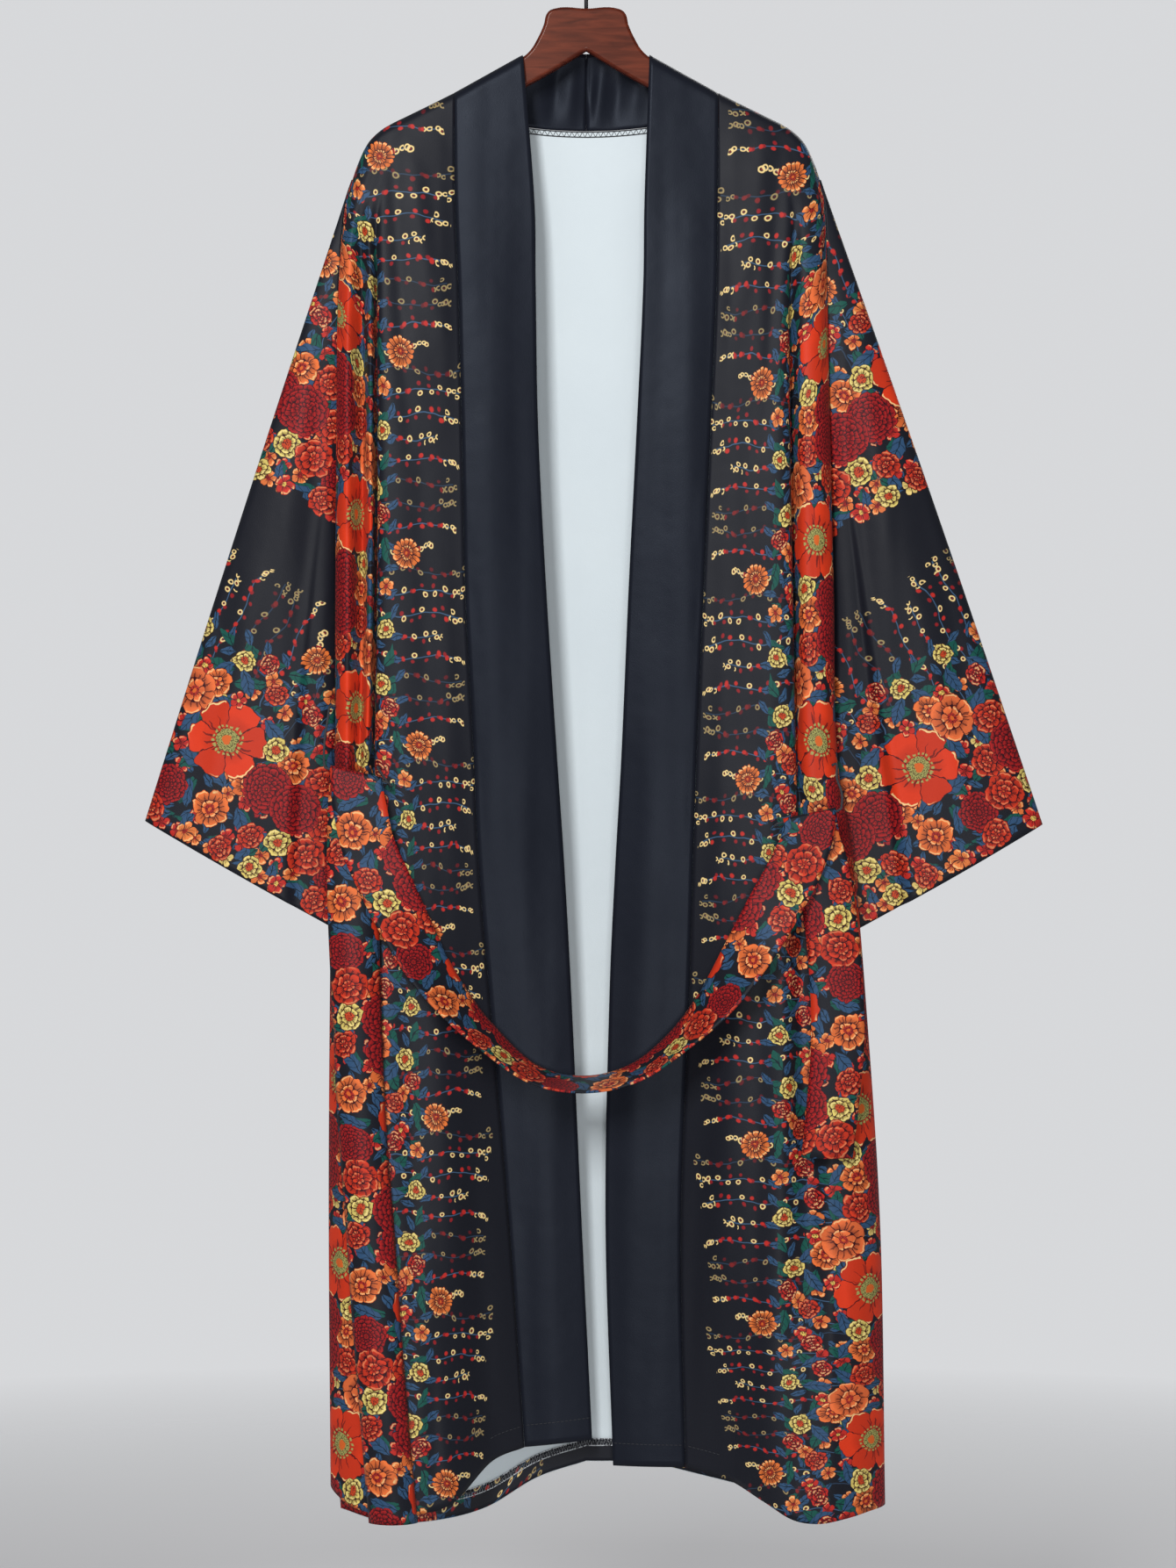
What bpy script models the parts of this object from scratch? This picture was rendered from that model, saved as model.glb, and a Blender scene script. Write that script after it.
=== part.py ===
"""A kimono coat with a plain neck band and a tie belt, hanging on a wooden hanger.

The origin is where a rail would carry the hook. X runs to the right as the coat is seen from the
front, the front faces -Y and Z is up. Tables are in millimetres; each cloth piece is a grid that
is shaped by its table and then given the cloth's thickness.
"""

import math
from collections import namedtuple

import bmesh
import bpy
from mathutils import Vector

MM = 0.001
CLOTH = 1.2
GAP = 0.3

HOOK_WIRE_R = 1.7
HOOK_INNER_R = 18.0
HOOK_OPEN_FROM = -58.0
HOOK_OPEN_TO = 196.0
WOOD_TOP_Z = -62.0
WOOD_DEPTH = 11.0
WOOD_EDGE_R = 3.0
WOOD_BELOW_CLOTH = 2.1
SHANK_DEPTH = 12.0

BELT_WIDTH = 45.0
BELT_THICKNESS = 1.6
BELT_FOLD_R = 2.4
LOOP_THREAD_R = 1.0

RIDGE_R = 8.0
RIDGE_HALF_DEPTH = 10.0
ARMPIT_Z = -505.0
ARMHOLE_HALF_DEPTH = 12.0
ARMPIT_BACK = 8.0
SLEEVE_CLEARANCE = 1.5
UNDERARM_SPLAY = 2.0
SIDE_SEAM_HALF_GAP = 0.55

# The line that the cloth takes over the hanger and down past its end, out from the centre
SHOULDER = ((51, -100.5), (82, -117.5), (113, -135), (146, -151.5), (176, -167.5), (190, -184), (199, -208.5))
SHOULDER_END = SHOULDER[-1]

# A section of a front at one height: each station is (distance from the centre, how far forward)
Section = namedtuple("Section", "z edge seam panel brow groove pleat notch roll turn side")
FRONTS = {
    "left": (
        Section(None, (54, 10), (113, 10), (128, 10), (143, 10), (155, 10), (166, 10), (176, 10), (186, 9), (194, 6), 199),
        Section(-230, (44, 13), (112, 14), (143, 18), (169, 19), (177, 18), (184, 18), (191, 17), (198, 15),
                (203, 9), 205),
        Section(-300, (43, 15), (109, 18), (141, 23), (173, 24), (178, 13), (183, 24), (191, 13), (201, 24),
                (209.5, 15), 210.5),
        Section(-420, (41, 16), (106, 20), (140, 25), (173, 26), (178, 7), (183, 24), (191, 8), (202, 26),
                (211.5, 15), 212),
        Section(-560, (34, 15), (103, 20), (138, 26), (173, 27), (178, 7), (183, 25), (191, 9), (202, 27),
                (212.5, 14), 213),
        Section(-700, (25, 12), (96, 18), (134, 27), (174, 28), (180, 12), (186, 26), (193, 15), (203, 27),
                (213, 13), 213.5),
        Section(-790, (19, 8), (92, 16), (132, 28), (169, 30), (181, 27), (190, 27), (198, 26), (207, 23),
                (216, 10), 214),
        Section(-900, (13, 4), (83, 10), (125, 28), (160, 34), (177, 33), (190, 31), (200, 29), (210, 23),
                (218, 8), 215),
        Section(-1100, (4, -2), (66, 2), (108, 26), (145, 39), (168, 40), (184, 37), (197, 32), (209, 24),
                (219, 8), 215),
    ),
    "right": (
        Section(None, (54, 10), (113, 10), (128, 10), (143, 10), (155, 10), (166, 10), (176, 10), (186, 9), (194, 6), 199),
        Section(-230, (49.5, 13), (112, 14), (143, 18), (168, 19), (176, 18), (184, 18), (191, 17), (197, 14),
                (201, 8), 202.5),
        Section(-300, (48.5, 15), (111, 18), (140, 23), (168, 24), (174, 15), (182, 22), (190, 23), (198, 20),
                (203.5, 12), 205),
        Section(-420, (43, 16), (106, 20), (138, 25), (169, 26), (174, 8), (182, 23), (191, 26), (200, 23),
                (206.5, 13), 207.5),
        Section(-560, (36, 15), (100, 20), (135, 26), (171, 27), (176, 8), (184, 25), (194, 27), (203, 24),
                (210, 13), 210.5),
        Section(-700, (30, 12), (94, 18), (132, 27), (173, 28), (178, 12), (186, 26), (196, 28), (206, 25),
                (213, 12), 213),
        Section(-790, (25, 8), (91, 15), (131, 28), (170, 30), (184, 28), (196, 28), (208, 27), (218, 23),
                (227, 10), 224),
        Section(-900, (20, 4), (88, 10), (130, 28), (165, 34), (181, 24), (196, 29), (212, 31), (226, 26),
                (237, 10), 233),
        Section(-1100, (16.5, -2), (81, 2), (121, 25), (159, 38), (184, 31), (204, 36), (223, 36), (240, 26),
                (250, 9), 245),
    ),
}

# The front hems: the same stations, with the height of the cut edge as a third number
Hem = namedtuple("Hem", "edge seam panel brow groove pleat notch roll turn side")
HEMS = {
    "left": Hem((-5, -9, -1286), (53, -6, -1292), (81, 8, -1302), (112, 38, -1331), (141, 45, -1340),
                (163, 43, -1344), (182, 37, -1340), (201, 27, -1335), (217, 9, -1323), (214, -8, -1314)),
    "right": Hem((23, -8, -1308), (85, -5, -1309), (121, 10, -1317), (150, 34, -1331), (173, 44, -1344),
                 (195, 44, -1348), (218, 38, -1345), (237, 28, -1341), (254, 9, -1338), (249, -8, -1333)),
}

# The neck band from the hanger's ridge round to the centre back, at its free edge and at its seam
BandTurn = namedtuple("BandTurn", "edge seam")
BAND_ROUND_NECK = (
    BandTurn((54, 0, -102), (113, 0, -135)),
    BandTurn((54, 6, -103), (111, 6, -134.8)),
    BandTurn((54, 9.5, -106), (107, 9.5, -137)),
    BandTurn((53, 12, -109), (100, 12.5, -143)),
    BandTurn((49, 14, -110), (91, 15.5, -149)),
    BandTurn((42, 16, -107), (79, 18, -154)),
    BandTurn((33, 18, -102.5), (63, 20.5, -158.5)),
    BandTurn((20, 19.5, -99), (43, 22.5, -161)),
    BandTurn((9, 20.3, -97), (21, 24, -162.5)),
    BandTurn((0, 20.5, -97), (0, 24.5, -163)),
)
NECK_SEAM_HALF = 0.65
BACK_SPREAD_DROP = 50.0

# A section of the back at one height: how far back it lies at each share of the way to the side
BACK_AT = (0, 0.25, 0.45, 0.6, 0.8, 0.95)
BackSection = namedtuple("BackSection", "z centre inner mid outer blade turn")
BACK = (
    BackSection(-230, 27, 26, 24, 23, 21, 19),
    BackSection(-300, 31, 30, 28, 27, 25, 21),
    BackSection(-420, 34, 33, 32, 31, 29, 24),
    BackSection(-560, 36, 34, 34, 34, 31, 24),
    BackSection(-700, 36, 34, 36, 35, 31, 23),
    BackSection(-900, 36, 33, 37, 36, 31, 22),
    BackSection(-1100, 36, 34, 36, 33, 27, 20),
)
BACK_HEMS = {
    "left": ((35, -1309), (32, -1323), (24, -1347), (18, -1357), (14, -1358), (15, -1345)),
    "right": ((35, -1309), (33, -1310), (28, -1320), (24, -1332), (18, -1346), (16, -1347)),
}

# A sleeve's cuff, as (from the centre, height) at its folded top edge and midway, and the height of its
# underarm end; then where a soft fold starts, as shares of the sleeve's width at armhole and cuff, and
# how deep it is. The underarm seam hangs just beside the body's side seam.
Sleeve = namedtuple("Sleeve", "cuff_top cuff_mid cuff_low_z fold_share fold_depth")
SLEEVES = {
    "left": Sleeve((377, -756), (299, -801), -848, (0.62, 0.78), 5),
    "right": Sleeve((390, -759), (312, -804.5), -850, (0.60, 0.74), 13),
}
SLEEVE_TOP_BOW = 1.5
SLEEVE_HALF_DEPTH = 17.0

# The belt along its middle: (x, forward, height), how its width slants from level, how far it is
# turned edge-on and how far its edges curl back, all in degrees. Each list starts or ends at a fold.
Strap = namedtuple("Strap", "x forward z slant turned curled")
FOLD_LEFT = Strap(-194, 44, -717, -13, 0, 0)
FOLD_RIGHT = Strap(188.5, 44, -752, 192, 0, 0)
TAIL_LEFT = (
    Strap(-162.5, 60, -1346, 0, 0, 28), Strap(-169, 59.5, -1270, 0, 0, 28), Strap(-176, 58.5, -1185, 0, 0, 28),
    Strap(-182, 57, -1099, 0, 0, 28), Strap(-189, 55, -1011, 0, 0, 28), Strap(-193, 52, -925, 0, 0, 26),
    Strap(-196, 47.5, -850, 0, 0, 20), Strap(-196.5, 43.5, -790, -2, 0, 10), Strap(-195.5, 41.6, -745, -8, 0, 2),
)
SWAG = (
    Strap(-191.5, 46.6, -740, 4, 0, 0), Strap(-184, 48, -775, 19, 0, 0), Strap(-170, 51, -807, 22, -8, 0),
    Strap(-152, 52, -844, 24, -22, 0), Strap(-133, 51, -879, 27, -38, 0), Strap(-111, 48, -909, 34, -52, 0),
    Strap(-87, 45, -935, 42, -63, 0), Strap(-45, 41, -969, 61, -74, 0), Strap(0, 39, -978, 90, -77, 0),
    Strap(43, 41, -967, 118, -74, 0), Strap(81, 45, -938, 136, -66, 0), Strap(111, 49, -905, 149, -48, 0),
    Strap(138, 52, -863, 154, -26, 0), Strap(159, 51, -826, 153, -8, 0), Strap(176, 48, -795, 160, 0, 0),
    Strap(186, 46.6, -770, 182, 0, 0),
)
TAIL_RIGHT = (
    Strap(191, 41.6, -770, 187, 0, 0), Strap(199, 41, -795, 182, 0, 4), Strap(207, 41.5, -845, 180, 0, 8),
    Strap(211.5, 42.5, -900, 180, 0, 8), Strap(212, 44, -945, 180, 0, 8), Strap(208, 46, -995, 180, 0, 14),
    Strap(203, 47, -1040, 180, 0, 18),
)
BELT_STEPS = {"tail_left": 20, "fold": 6, "swag": 34, "tail_right": 11}

# Each thread loop leaves the front panel, runs through the belt's fold and ends behind the belt. An
# end is (across the panel, share of its length); the points between are (x, forward, height).
Loop = namedtuple("Loop", "start route end")
LOOPS = {
    "left": Loop((0.86, 0.412),
                 ((-219, 25, -668), (-221, 32, -684), (-221.5, 38, -700), (-220.5, 43, -709), (-217, 44, -711.7),
                  (-194, 44, -717), (-171, 44, -722.3), (-166.5, 42.5, -723.8), (-165.5, 38.5, -726)),
                 (0.25, 0.475)),
    "right": Loop((0.76, 0.456),
                  ((212, 34, -720), (215.5, 39, -731), (215.5, 42.5, -741), (212, 44, -747), (188.5, 44, -752),
                   (165, 44, -757), (160.5, 42.5, -758.5), (159.5, 39, -761)),
                  (0.25, 0.516)),
}
LOOP_END_LIFT = 0.8
LOOP_END_RISE = 5.0

# The hanger's front outline, half of it, from its top down and out to the arm's end and back
WOOD_BLOCK = ((0, -62.5), (27, -62.5), (33, -66), (36.5, -77), (41.5, -88), (48, -98.5))
WOOD_ARM_X = (56, 64, 80, 97, 115, 135, 152, 162)
WOOD_ARM_UNDER = ((169.5, -173), (170.5, -180), (162, -184), (110, -160), (60, -133.5), (30, -117), (0, -98.5))

ROWS_BELOW_RIDGE = (0, 0.7, 2.8, 6.5, 12.5)
LONG_ROWS = 19
NECK_ROWS = 9
SHOULDER_COLUMNS = 7
COLUMNS = {"front": 20, "band": 3, "sleeve": 26, "belt": 4}
SLEEVE_ROWS = 12

COLOURS = {
    "black_satin": ((0.018, 0.020, 0.030, 1), 0.45, 0.0),
    "printed_satin": ((0.20, 0.035, 0.022, 1), 0.5, 0.0),
    "red_brown_wood": ((0.085, 0.018, 0.009, 1), 0.25, 0.0),
    "black_wire": ((0.02, 0.02, 0.022, 1), 0.35, 1.0),
}


def clear_scene():
    """Remove what a new file holds."""
    for thing in list(bpy.data.objects):
        bpy.data.objects.remove(thing)


def collection(name):
    """Return a new collection of the scene."""
    made = bpy.data.collections.new(name)
    bpy.context.scene.collection.children.link(made)
    return made


def material(name):
    """Return the material of this name, made on first use."""
    found = bpy.data.materials.get(name)
    if found:
        return found
    colour, roughness, metallic = COLOURS[name]
    made = bpy.data.materials.new(name)
    made.use_nodes = True
    shader = made.node_tree.nodes["Principled BSDF"]
    shader.inputs["Base Color"].default_value = colour
    shader.inputs["Roughness"].default_value = roughness
    shader.inputs["Metallic"].default_value = metallic
    return made


def through(knots, points, at):
    """Return the smooth curve through points at rising knots, as Hermite spans with averaged slopes."""
    at = min(max(at, knots[0]), knots[-1])
    span = 0
    while span < len(knots) - 2 and at > knots[span + 1]:
        span += 1

    def slope(i):
        low, high = max(i - 1, 0), min(i + 1, len(knots) - 1)
        return (points[high] - points[low]) / (knots[high] - knots[low])

    width = knots[span + 1] - knots[span]
    t = (at - knots[span]) / width
    start, end = points[span], points[span + 1]
    rise, fall = slope(span) * width, slope(span + 1) * width
    return (start * (2 * t**3 - 3 * t**2 + 1) + rise * (t**3 - 2 * t**2 + t)
            + end * (3 * t**2 - 2 * t**3) + fall * (t**3 - t**2))


class Stations(tuple):
    """Numbers that are added and scaled together, one by one."""

    def __add__(self, other):
        return Stations(a + b for a, b in zip(self, other))

    def __sub__(self, other):
        return Stations(a - b for a, b in zip(self, other))

    def __mul__(self, factor):
        return Stations(a * factor for a in self)

    def __truediv__(self, factor):
        return Stations(a / factor for a in self)


def through_evenly(points, at):
    """Return the smooth curve through evenly spaced points, at a share of its length."""
    knots = list(range(len(points)))
    return through(knots, points, at * (len(points) - 1))


def shoulder_z(out):
    """Return the height of the cloth's ridge at this distance from the centre."""
    return through([p[0] for p in SHOULDER], [p[1] for p in SHOULDER], out)


def ridge_share(out, drop):
    """Return how much of its full depth the cloth has, this far down from the ridge: a quarter round."""
    slope = abs(shoulder_z(out + 1) - shoulder_z(out - 1)) / 2
    away = min(1, max(0, drop) / math.hypot(1, slope) / RIDGE_R)
    return math.sqrt(1 - (1 - away) ** 2)


def armhole_depth(z):
    """Return (centre plane, half depth) of the armhole at this height, both towards the back."""
    down = (SHOULDER_END[1] - z) / (SHOULDER_END[1] - ARMPIT_Z)
    if down >= 1:
        return ARMPIT_BACK, 0.0
    down = max(down, 0.0)
    return ARMPIT_BACK * down, ARMHOLE_HALF_DEPTH * (2 * math.sqrt(down * (1 - down))) ** 0.6


def row_shares(length):
    """Return the rows of a long panel as shares of its length, close together at the ridge."""
    first = [drop / length for drop in ROWS_BELOW_RIDGE]
    rest = [first[-1] + (1 - first[-1]) * i / LONG_ROWS for i in range(1, LONG_ROWS + 1)]
    return first + rest


LONG_SHARES = row_shares(1160)


def side_out(side, z):
    """Return how far from the centre this side's seam is, at this height."""
    rows = FRONTS[side]
    hem = HEMS[side].side
    knots = [-SHOULDER_END[1]] + [-row.z for row in rows[1:]] + [-hem[2]]
    return through(knots, [rows[0].side] + [row.side for row in rows[1:]] + [hem[0]], -z)


def front_station(side, name, share):
    """Return a station of a front at a share of its length from ridge to hem."""
    rows = FRONTS[side]
    hem = getattr(HEMS[side], name)
    top = getattr(rows[0], name)
    top_out = top if name == "side" else top[0]
    top_z = shoulder_z(top_out)
    z = top_z + (hem[2] - top_z) * share
    if name == "side":
        centre, half = armhole_depth(z)
        return Vector((side_out(side, z), centre - max(half, SIDE_SEAM_HALF_GAP), z))
    knots = [-top_z] + [-row.z for row in rows[1:]] + [-hem[2]]
    stations = [Vector(top)] + [Vector(getattr(row, name)) for row in rows[1:]] + [Vector(hem[:2])]
    out, forward = through(knots, stations, -z)
    return Vector((out, -forward * ridge_share(top_out, top_z - z) - GAP, z))


def mirrored(side, point):
    """Return a point that was worked out for the right, on its own side and in metres."""
    return Vector((point.x if side == "right" else -point.x, point.y, point.z)) * MM


def front_point(side, across, share):
    """Return a point of a front, from the band's seam at 0 to the side seam at 1."""
    names = Section._fields[2:]
    stations = [front_station(side, name, share) for name in names]
    return mirrored(side, through_evenly(stations, across))


def thread_end(side, across, share):
    """Return two points straight out from a front's outer face: where a thread ends, and further out."""
    step = 0.01
    at = front_point(side, across, share) / MM
    run = front_point(side, across + step, share) / MM - at
    fall = front_point(side, across, share + step) / MM - at
    out = run.cross(fall).normalized()
    if out.y > 0:
        out = -out
    first = CLOTH / 2 + LOOP_END_LIFT
    return [at + out * first, at + out * (first + LOOP_END_RISE)]


def neckline(name, turn):
    """Return a point of the band's free edge or seam, from the ridge at 0 to the centre back at 1."""
    return through_evenly([Vector(getattr(row, name)) for row in BAND_ROUND_NECK], turn)


def band_point(side, across, share):
    """Return a point of the neck band: share 0 to 1 from hem to ridge, then to 2 at the centre back."""
    if share <= 1:
        edge = front_station(side, "edge", 1 - share)
        seam = front_station(side, "seam", 1 - share)
        panel = front_station(side, "panel", 1 - share)
        seam += (seam - panel).normalized() * NECK_SEAM_HALF
    else:
        edge = neckline("edge", share - 1)
        seam = neckline("seam", share - 1)
        edge.y -= GAP * (2 - share)
        seam.y -= GAP * (2 - share)
        seam += (edge - seam).normalized() * NECK_SEAM_HALF
    point = edge.lerp(seam, across)
    bulge = 2.5 * math.sin(math.pi * across) * min(1, abs(share - 1) * 4)
    point.y -= bulge if share <= 1 else -bulge
    if share > 1:
        point.x = max(point.x, GAP / 2)
    return mirrored(side, point)


def back_top(column):
    """Return a point of the back's top edge, by its column from the centre: neckline, then shoulder."""
    beside = max(0, column - NECK_ROWS) / SHOULDER_COLUMNS
    turn = max(0, 1 - column / NECK_ROWS)
    seam = neckline("seam", turn)
    seam -= (neckline("edge", turn) - seam).normalized() * NECK_SEAM_HALF
    seam.y = max(seam.y, GAP)
    if not beside:
        return seam
    out = seam.x + (SHOULDER_END[0] - seam.x) * beside
    return Vector((out, GAP, shoulder_z(out)))


def back_point(column, share):
    """Return a point of the back, by its column from the centre (left ones are negative)."""
    side = "right" if column >= 0 else "left"
    column = abs(column)
    at = column / (NECK_ROWS + SHOULDER_COLUMNS)
    top = back_top(column)
    hem_depth, hem_z = through_evenly([Vector(hem) for hem in BACK_HEMS[side]], at)
    if at == 1:
        z = top.z + (HEMS[side].side[2] - top.z) * share
        centre, half = armhole_depth(z)
        return mirrored(side, Vector((side_out(side, z) - SIDE_SEAM_HALF_GAP,
                                      centre + max(half, SIDE_SEAM_HALF_GAP), z)))
    z = top.z + (hem_z - top.z) * share
    knots = [-top.z] + [-row.z for row in BACK] + [-hem_z]
    start = max(top.y, RIDGE_HALF_DEPTH)
    depth = through(knots, [start] + [through(BACK_AT, row[1:], at) for row in BACK] + [hem_depth], -z)
    depth = top.y + (depth - top.y) * ridge_share(max(top.x, SHOULDER[1][0]), top.z - z)
    eased = min(1, (top.z - z) / BACK_SPREAD_DROP)
    eased = eased * eased * (3 - 2 * eased)
    out = top.x + (side_out(side, min(z, SHOULDER_END[1])) * at - top.x) * eased
    return mirrored(side, Vector((out, depth, z)))


def sleeve_point(side, around, along):
    """Return a point of a sleeve: around 0 to 1 from the front's underarm edge, over the top fold, to
    the back's; along 0 to 1 from the armhole to the cuff."""
    made = SLEEVES[side]
    turn = math.pi * abs(2 * around - 1)
    inward = (1 - math.cos(turn)) / 2
    drop = SHOULDER_END[1] - (SHOULDER_END[1] - ARMPIT_Z) * inward
    armhole = Vector((side_out(side, drop) + SLEEVE_CLEARANCE, drop))
    armpit = Vector((side_out(side, ARMPIT_Z) + SLEEVE_CLEARANCE, ARMPIT_Z))
    splay = SLEEVE_CLEARANCE + UNDERARM_SPLAY
    cuff_low = Vector((side_out(side, made.cuff_low_z) + splay, made.cuff_low_z))
    cuff = through_evenly([Vector(made.cuff_top), Vector(made.cuff_mid), cuff_low], inward)
    top = Vector((SHOULDER_END[0] + SLEEVE_CLEARANCE, SHOULDER_END[1])).lerp(Vector(made.cuff_top), along)
    top.x += SLEEVE_TOP_BOW * math.sin(math.pi * along)
    low_z = ARMPIT_Z + (made.cuff_low_z - ARMPIT_Z) * along
    splay = SLEEVE_CLEARANCE + UNDERARM_SPLAY * min(1, 2 * along)
    low = Vector((side_out(side, low_z) + splay, low_z))
    shoulder_end = Vector((SHOULDER_END[0] + SLEEVE_CLEARANCE, SHOULDER_END[1]))
    flat = (armhole.lerp(cuff, along) + top.lerp(low, inward)
            - shoulder_end.lerp(armpit, inward).lerp(Vector(made.cuff_top).lerp(cuff_low, inward), along))
    centre, half = armhole_depth(drop)
    roundness = max(math.sin(turn), 0) ** 0.6
    centre += (6 - centre) * along
    half += (SLEEVE_HALF_DEPTH * roundness - half) * min(1, along * 2.5)
    at = made.fold_share[0] + (made.fold_share[1] - made.fold_share[0]) * along
    step = min(1, max(0, (inward - at) / 0.07 + 0.5))
    recess = made.fold_depth * step * step * (3 - 2 * step) * min(1, max(0, (along - 0.15) / 0.5)) * roundness
    front = around < 0.5
    offset = max(half - (recess if front else 0), SIDE_SEAM_HALF_GAP)
    if around == 0.5:
        offset = 0
    return mirrored(side, Vector((flat.x, centre - offset if front else centre + offset, flat.y)))


def strap_fold(fold, front_to_back):
    """Return the belt's rows over a thread loop, as half a turn about the thread."""
    centre = Vector((fold.x, -fold.forward, fold.z))
    slant = math.radians(fold.slant)
    wide = Vector((math.cos(slant), 0, math.sin(slant)))
    up = Vector((-wide.z, 0, wide.x))
    if up.z < 0:
        up = -up
    steps = BELT_STEPS["fold"]
    rows = []
    for i in range(steps + 1):
        turn = math.pi * i / steps
        if front_to_back:
            turn = math.pi - turn
        rows.append((centre + (Vector((0, 1, 0)) * math.cos(turn) + up * math.sin(turn)) * BELT_FOLD_R, wide, 0))
    return rows


def strap_stretch(rows, steps):
    """Return evenly spaced rows of the belt along a list of its stations."""
    made = []
    for i in range(steps + 1):
        x, forward, z, slant, turned, curled = through_evenly([Stations(row) for row in rows], i / steps)
        slant, turned = math.radians(slant), math.radians(turned)
        flat = Vector((math.cos(slant), 0, math.sin(slant)))
        wide = flat * math.cos(turned) + Vector((0, -1, 0)) * math.sin(turned)
        made.append((Vector((x, -forward, z)), wide, math.radians(curled)))
    return made


def belt_rows():
    """Return the belt's rows, each as (its middle, the direction of its width, how far it curls)."""
    return (strap_stretch(TAIL_LEFT, BELT_STEPS["tail_left"]) + strap_fold(FOLD_LEFT, False)
            + strap_stretch(SWAG, BELT_STEPS["swag"]) + strap_fold(FOLD_RIGHT, True)
            + strap_stretch(TAIL_RIGHT, BELT_STEPS["tail_right"]))


def belt_point(row, across):
    """Return a point of the belt on one of its rows, across its width from -1 to 1."""
    middle, wide, curled = row
    half = BELT_WIDTH / 2
    back = Vector((0, 1, 0)) * math.sin(curled) * across * across
    return (middle + (wide * math.cos(curled * abs(across)) * across + back) * half) * MM


def cloth(name, columns, rows, place, look, into, thickness=CLOTH):
    """Return a sheet with the cloth's thickness, from a grid whose points a function puts in place."""
    form = bmesh.new()
    bmesh.ops.create_grid(form, x_segments=columns, y_segments=rows, size=1)
    for vert in form.verts:
        column = round((vert.co.x + 1) / 2 * columns)
        row = round((vert.co.y + 1) / 2 * rows)
        vert.co = place(column, row)
    mesh = bpy.data.meshes.new(name)
    form.to_mesh(mesh)
    form.free()
    mesh.shade_smooth()
    made = bpy.data.objects.new(name, mesh)
    made.data.materials.append(material(look))
    into.objects.link(made)
    wall = made.modifiers.new("cloth thickness", "SOLIDIFY")
    wall.thickness = thickness * MM
    wall.offset = 0
    wall.use_even_offset = False
    return made


def tube(name, points, radius, look, into, sides=2):
    """Return a round thread or wire along points, with closed ends."""
    path = bpy.data.curves.new(name, "CURVE")
    path.dimensions = "3D"
    path.bevel_depth = radius * MM
    path.bevel_resolution = sides
    path.use_fill_caps = True
    line = path.splines.new("POLY")
    line.points.add(len(points) - 1)
    for knot, point in zip(line.points, points):
        knot.co = (*(Vector(point) * MM), 1)
    made = bpy.data.objects.new(name, path)
    path.materials.append(material(look))
    into.objects.link(made)
    return made


def fronts(into):
    """Make the two fronts, from the band's seam to the side."""
    columns = COLUMNS["front"]
    rows = len(LONG_SHARES) - 1
    for side in FRONTS:
        def place(column, row, side=side):
            return front_point(side, column / columns, LONG_SHARES[row])
        cloth(f"front_{side}", columns, rows, place, "printed_satin", into)


def bands(into):
    """Make the two halves of the neck band, which meet at the centre back."""
    columns = COLUMNS["band"]
    shares = [1 - share for share in reversed(LONG_SHARES)] + [1 + i / NECK_ROWS for i in range(1, NECK_ROWS + 1)]
    for side in FRONTS:
        def place(column, row, side=side):
            return band_point(side, column / columns, shares[row])
        cloth(f"neck_band_{side}", columns, len(shares) - 1, place, "black_satin", into)


def back(into):
    """Make the back in one piece."""
    half = NECK_ROWS + SHOULDER_COLUMNS

    def place(column, row):
        return back_point(column - half, LONG_SHARES[row])
    cloth("back", 2 * half, len(LONG_SHARES) - 1, place, "printed_satin", into)


def sleeves(into):
    """Make the two sleeves, each a piece folded at its top edge and closed by its underarm seam."""
    columns = COLUMNS["sleeve"]
    for side in SLEEVES:
        def place(column, row, side=side):
            return sleeve_point(side, column / columns, row / SLEEVE_ROWS)
        cloth(f"sleeve_{side}", columns, SLEEVE_ROWS, place, "printed_satin", into)


def belt(into):
    """Make the belt, hung over its two thread loops."""
    rows = belt_rows()
    columns = COLUMNS["belt"]

    def place(column, row):
        return belt_point(rows[row], 2 * column / columns - 1)
    cloth("belt", columns, len(rows) - 1, place, "printed_satin", into, BELT_THICKNESS)
    for side, loop in LOOPS.items():
        line = [*thread_end(side, *loop.start), *[Vector((x, -forward, z)) for x, forward, z in loop.route],
                *reversed(thread_end(side, *loop.end))]
        steps = 3 * (len(line) - 1)
        curve = [through_evenly(line, i / steps) for i in range(steps + 1)]
        tube(f"belt_loop_{side}", curve, LOOP_THREAD_R, "black_satin", into, sides=1)


def hook(into):
    """Make the hook: a straight shank that bends into a round hook over the rail."""
    centre_z = -HOOK_INNER_R
    radius = HOOK_INNER_R + HOOK_WIRE_R
    bottom = WOOD_TOP_Z - SHANK_DEPTH + GAP
    line = [(0, 0, bottom), (0, 0, bottom + 8), (0, 0, WOOD_TOP_Z), (0, 0, -52), (1.2, 0, -46), (4.8, 0, -40.5)]
    steps = 26
    for i in range(steps + 1):
        angle = math.radians(HOOK_OPEN_FROM + (HOOK_OPEN_TO - HOOK_OPEN_FROM) * i / steps)
        line.append((radius * math.cos(angle), 0, centre_z + radius * math.sin(angle)))
    tube("hanger_hook", line, HOOK_WIRE_R, "black_wire", into, sides=3)


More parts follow.
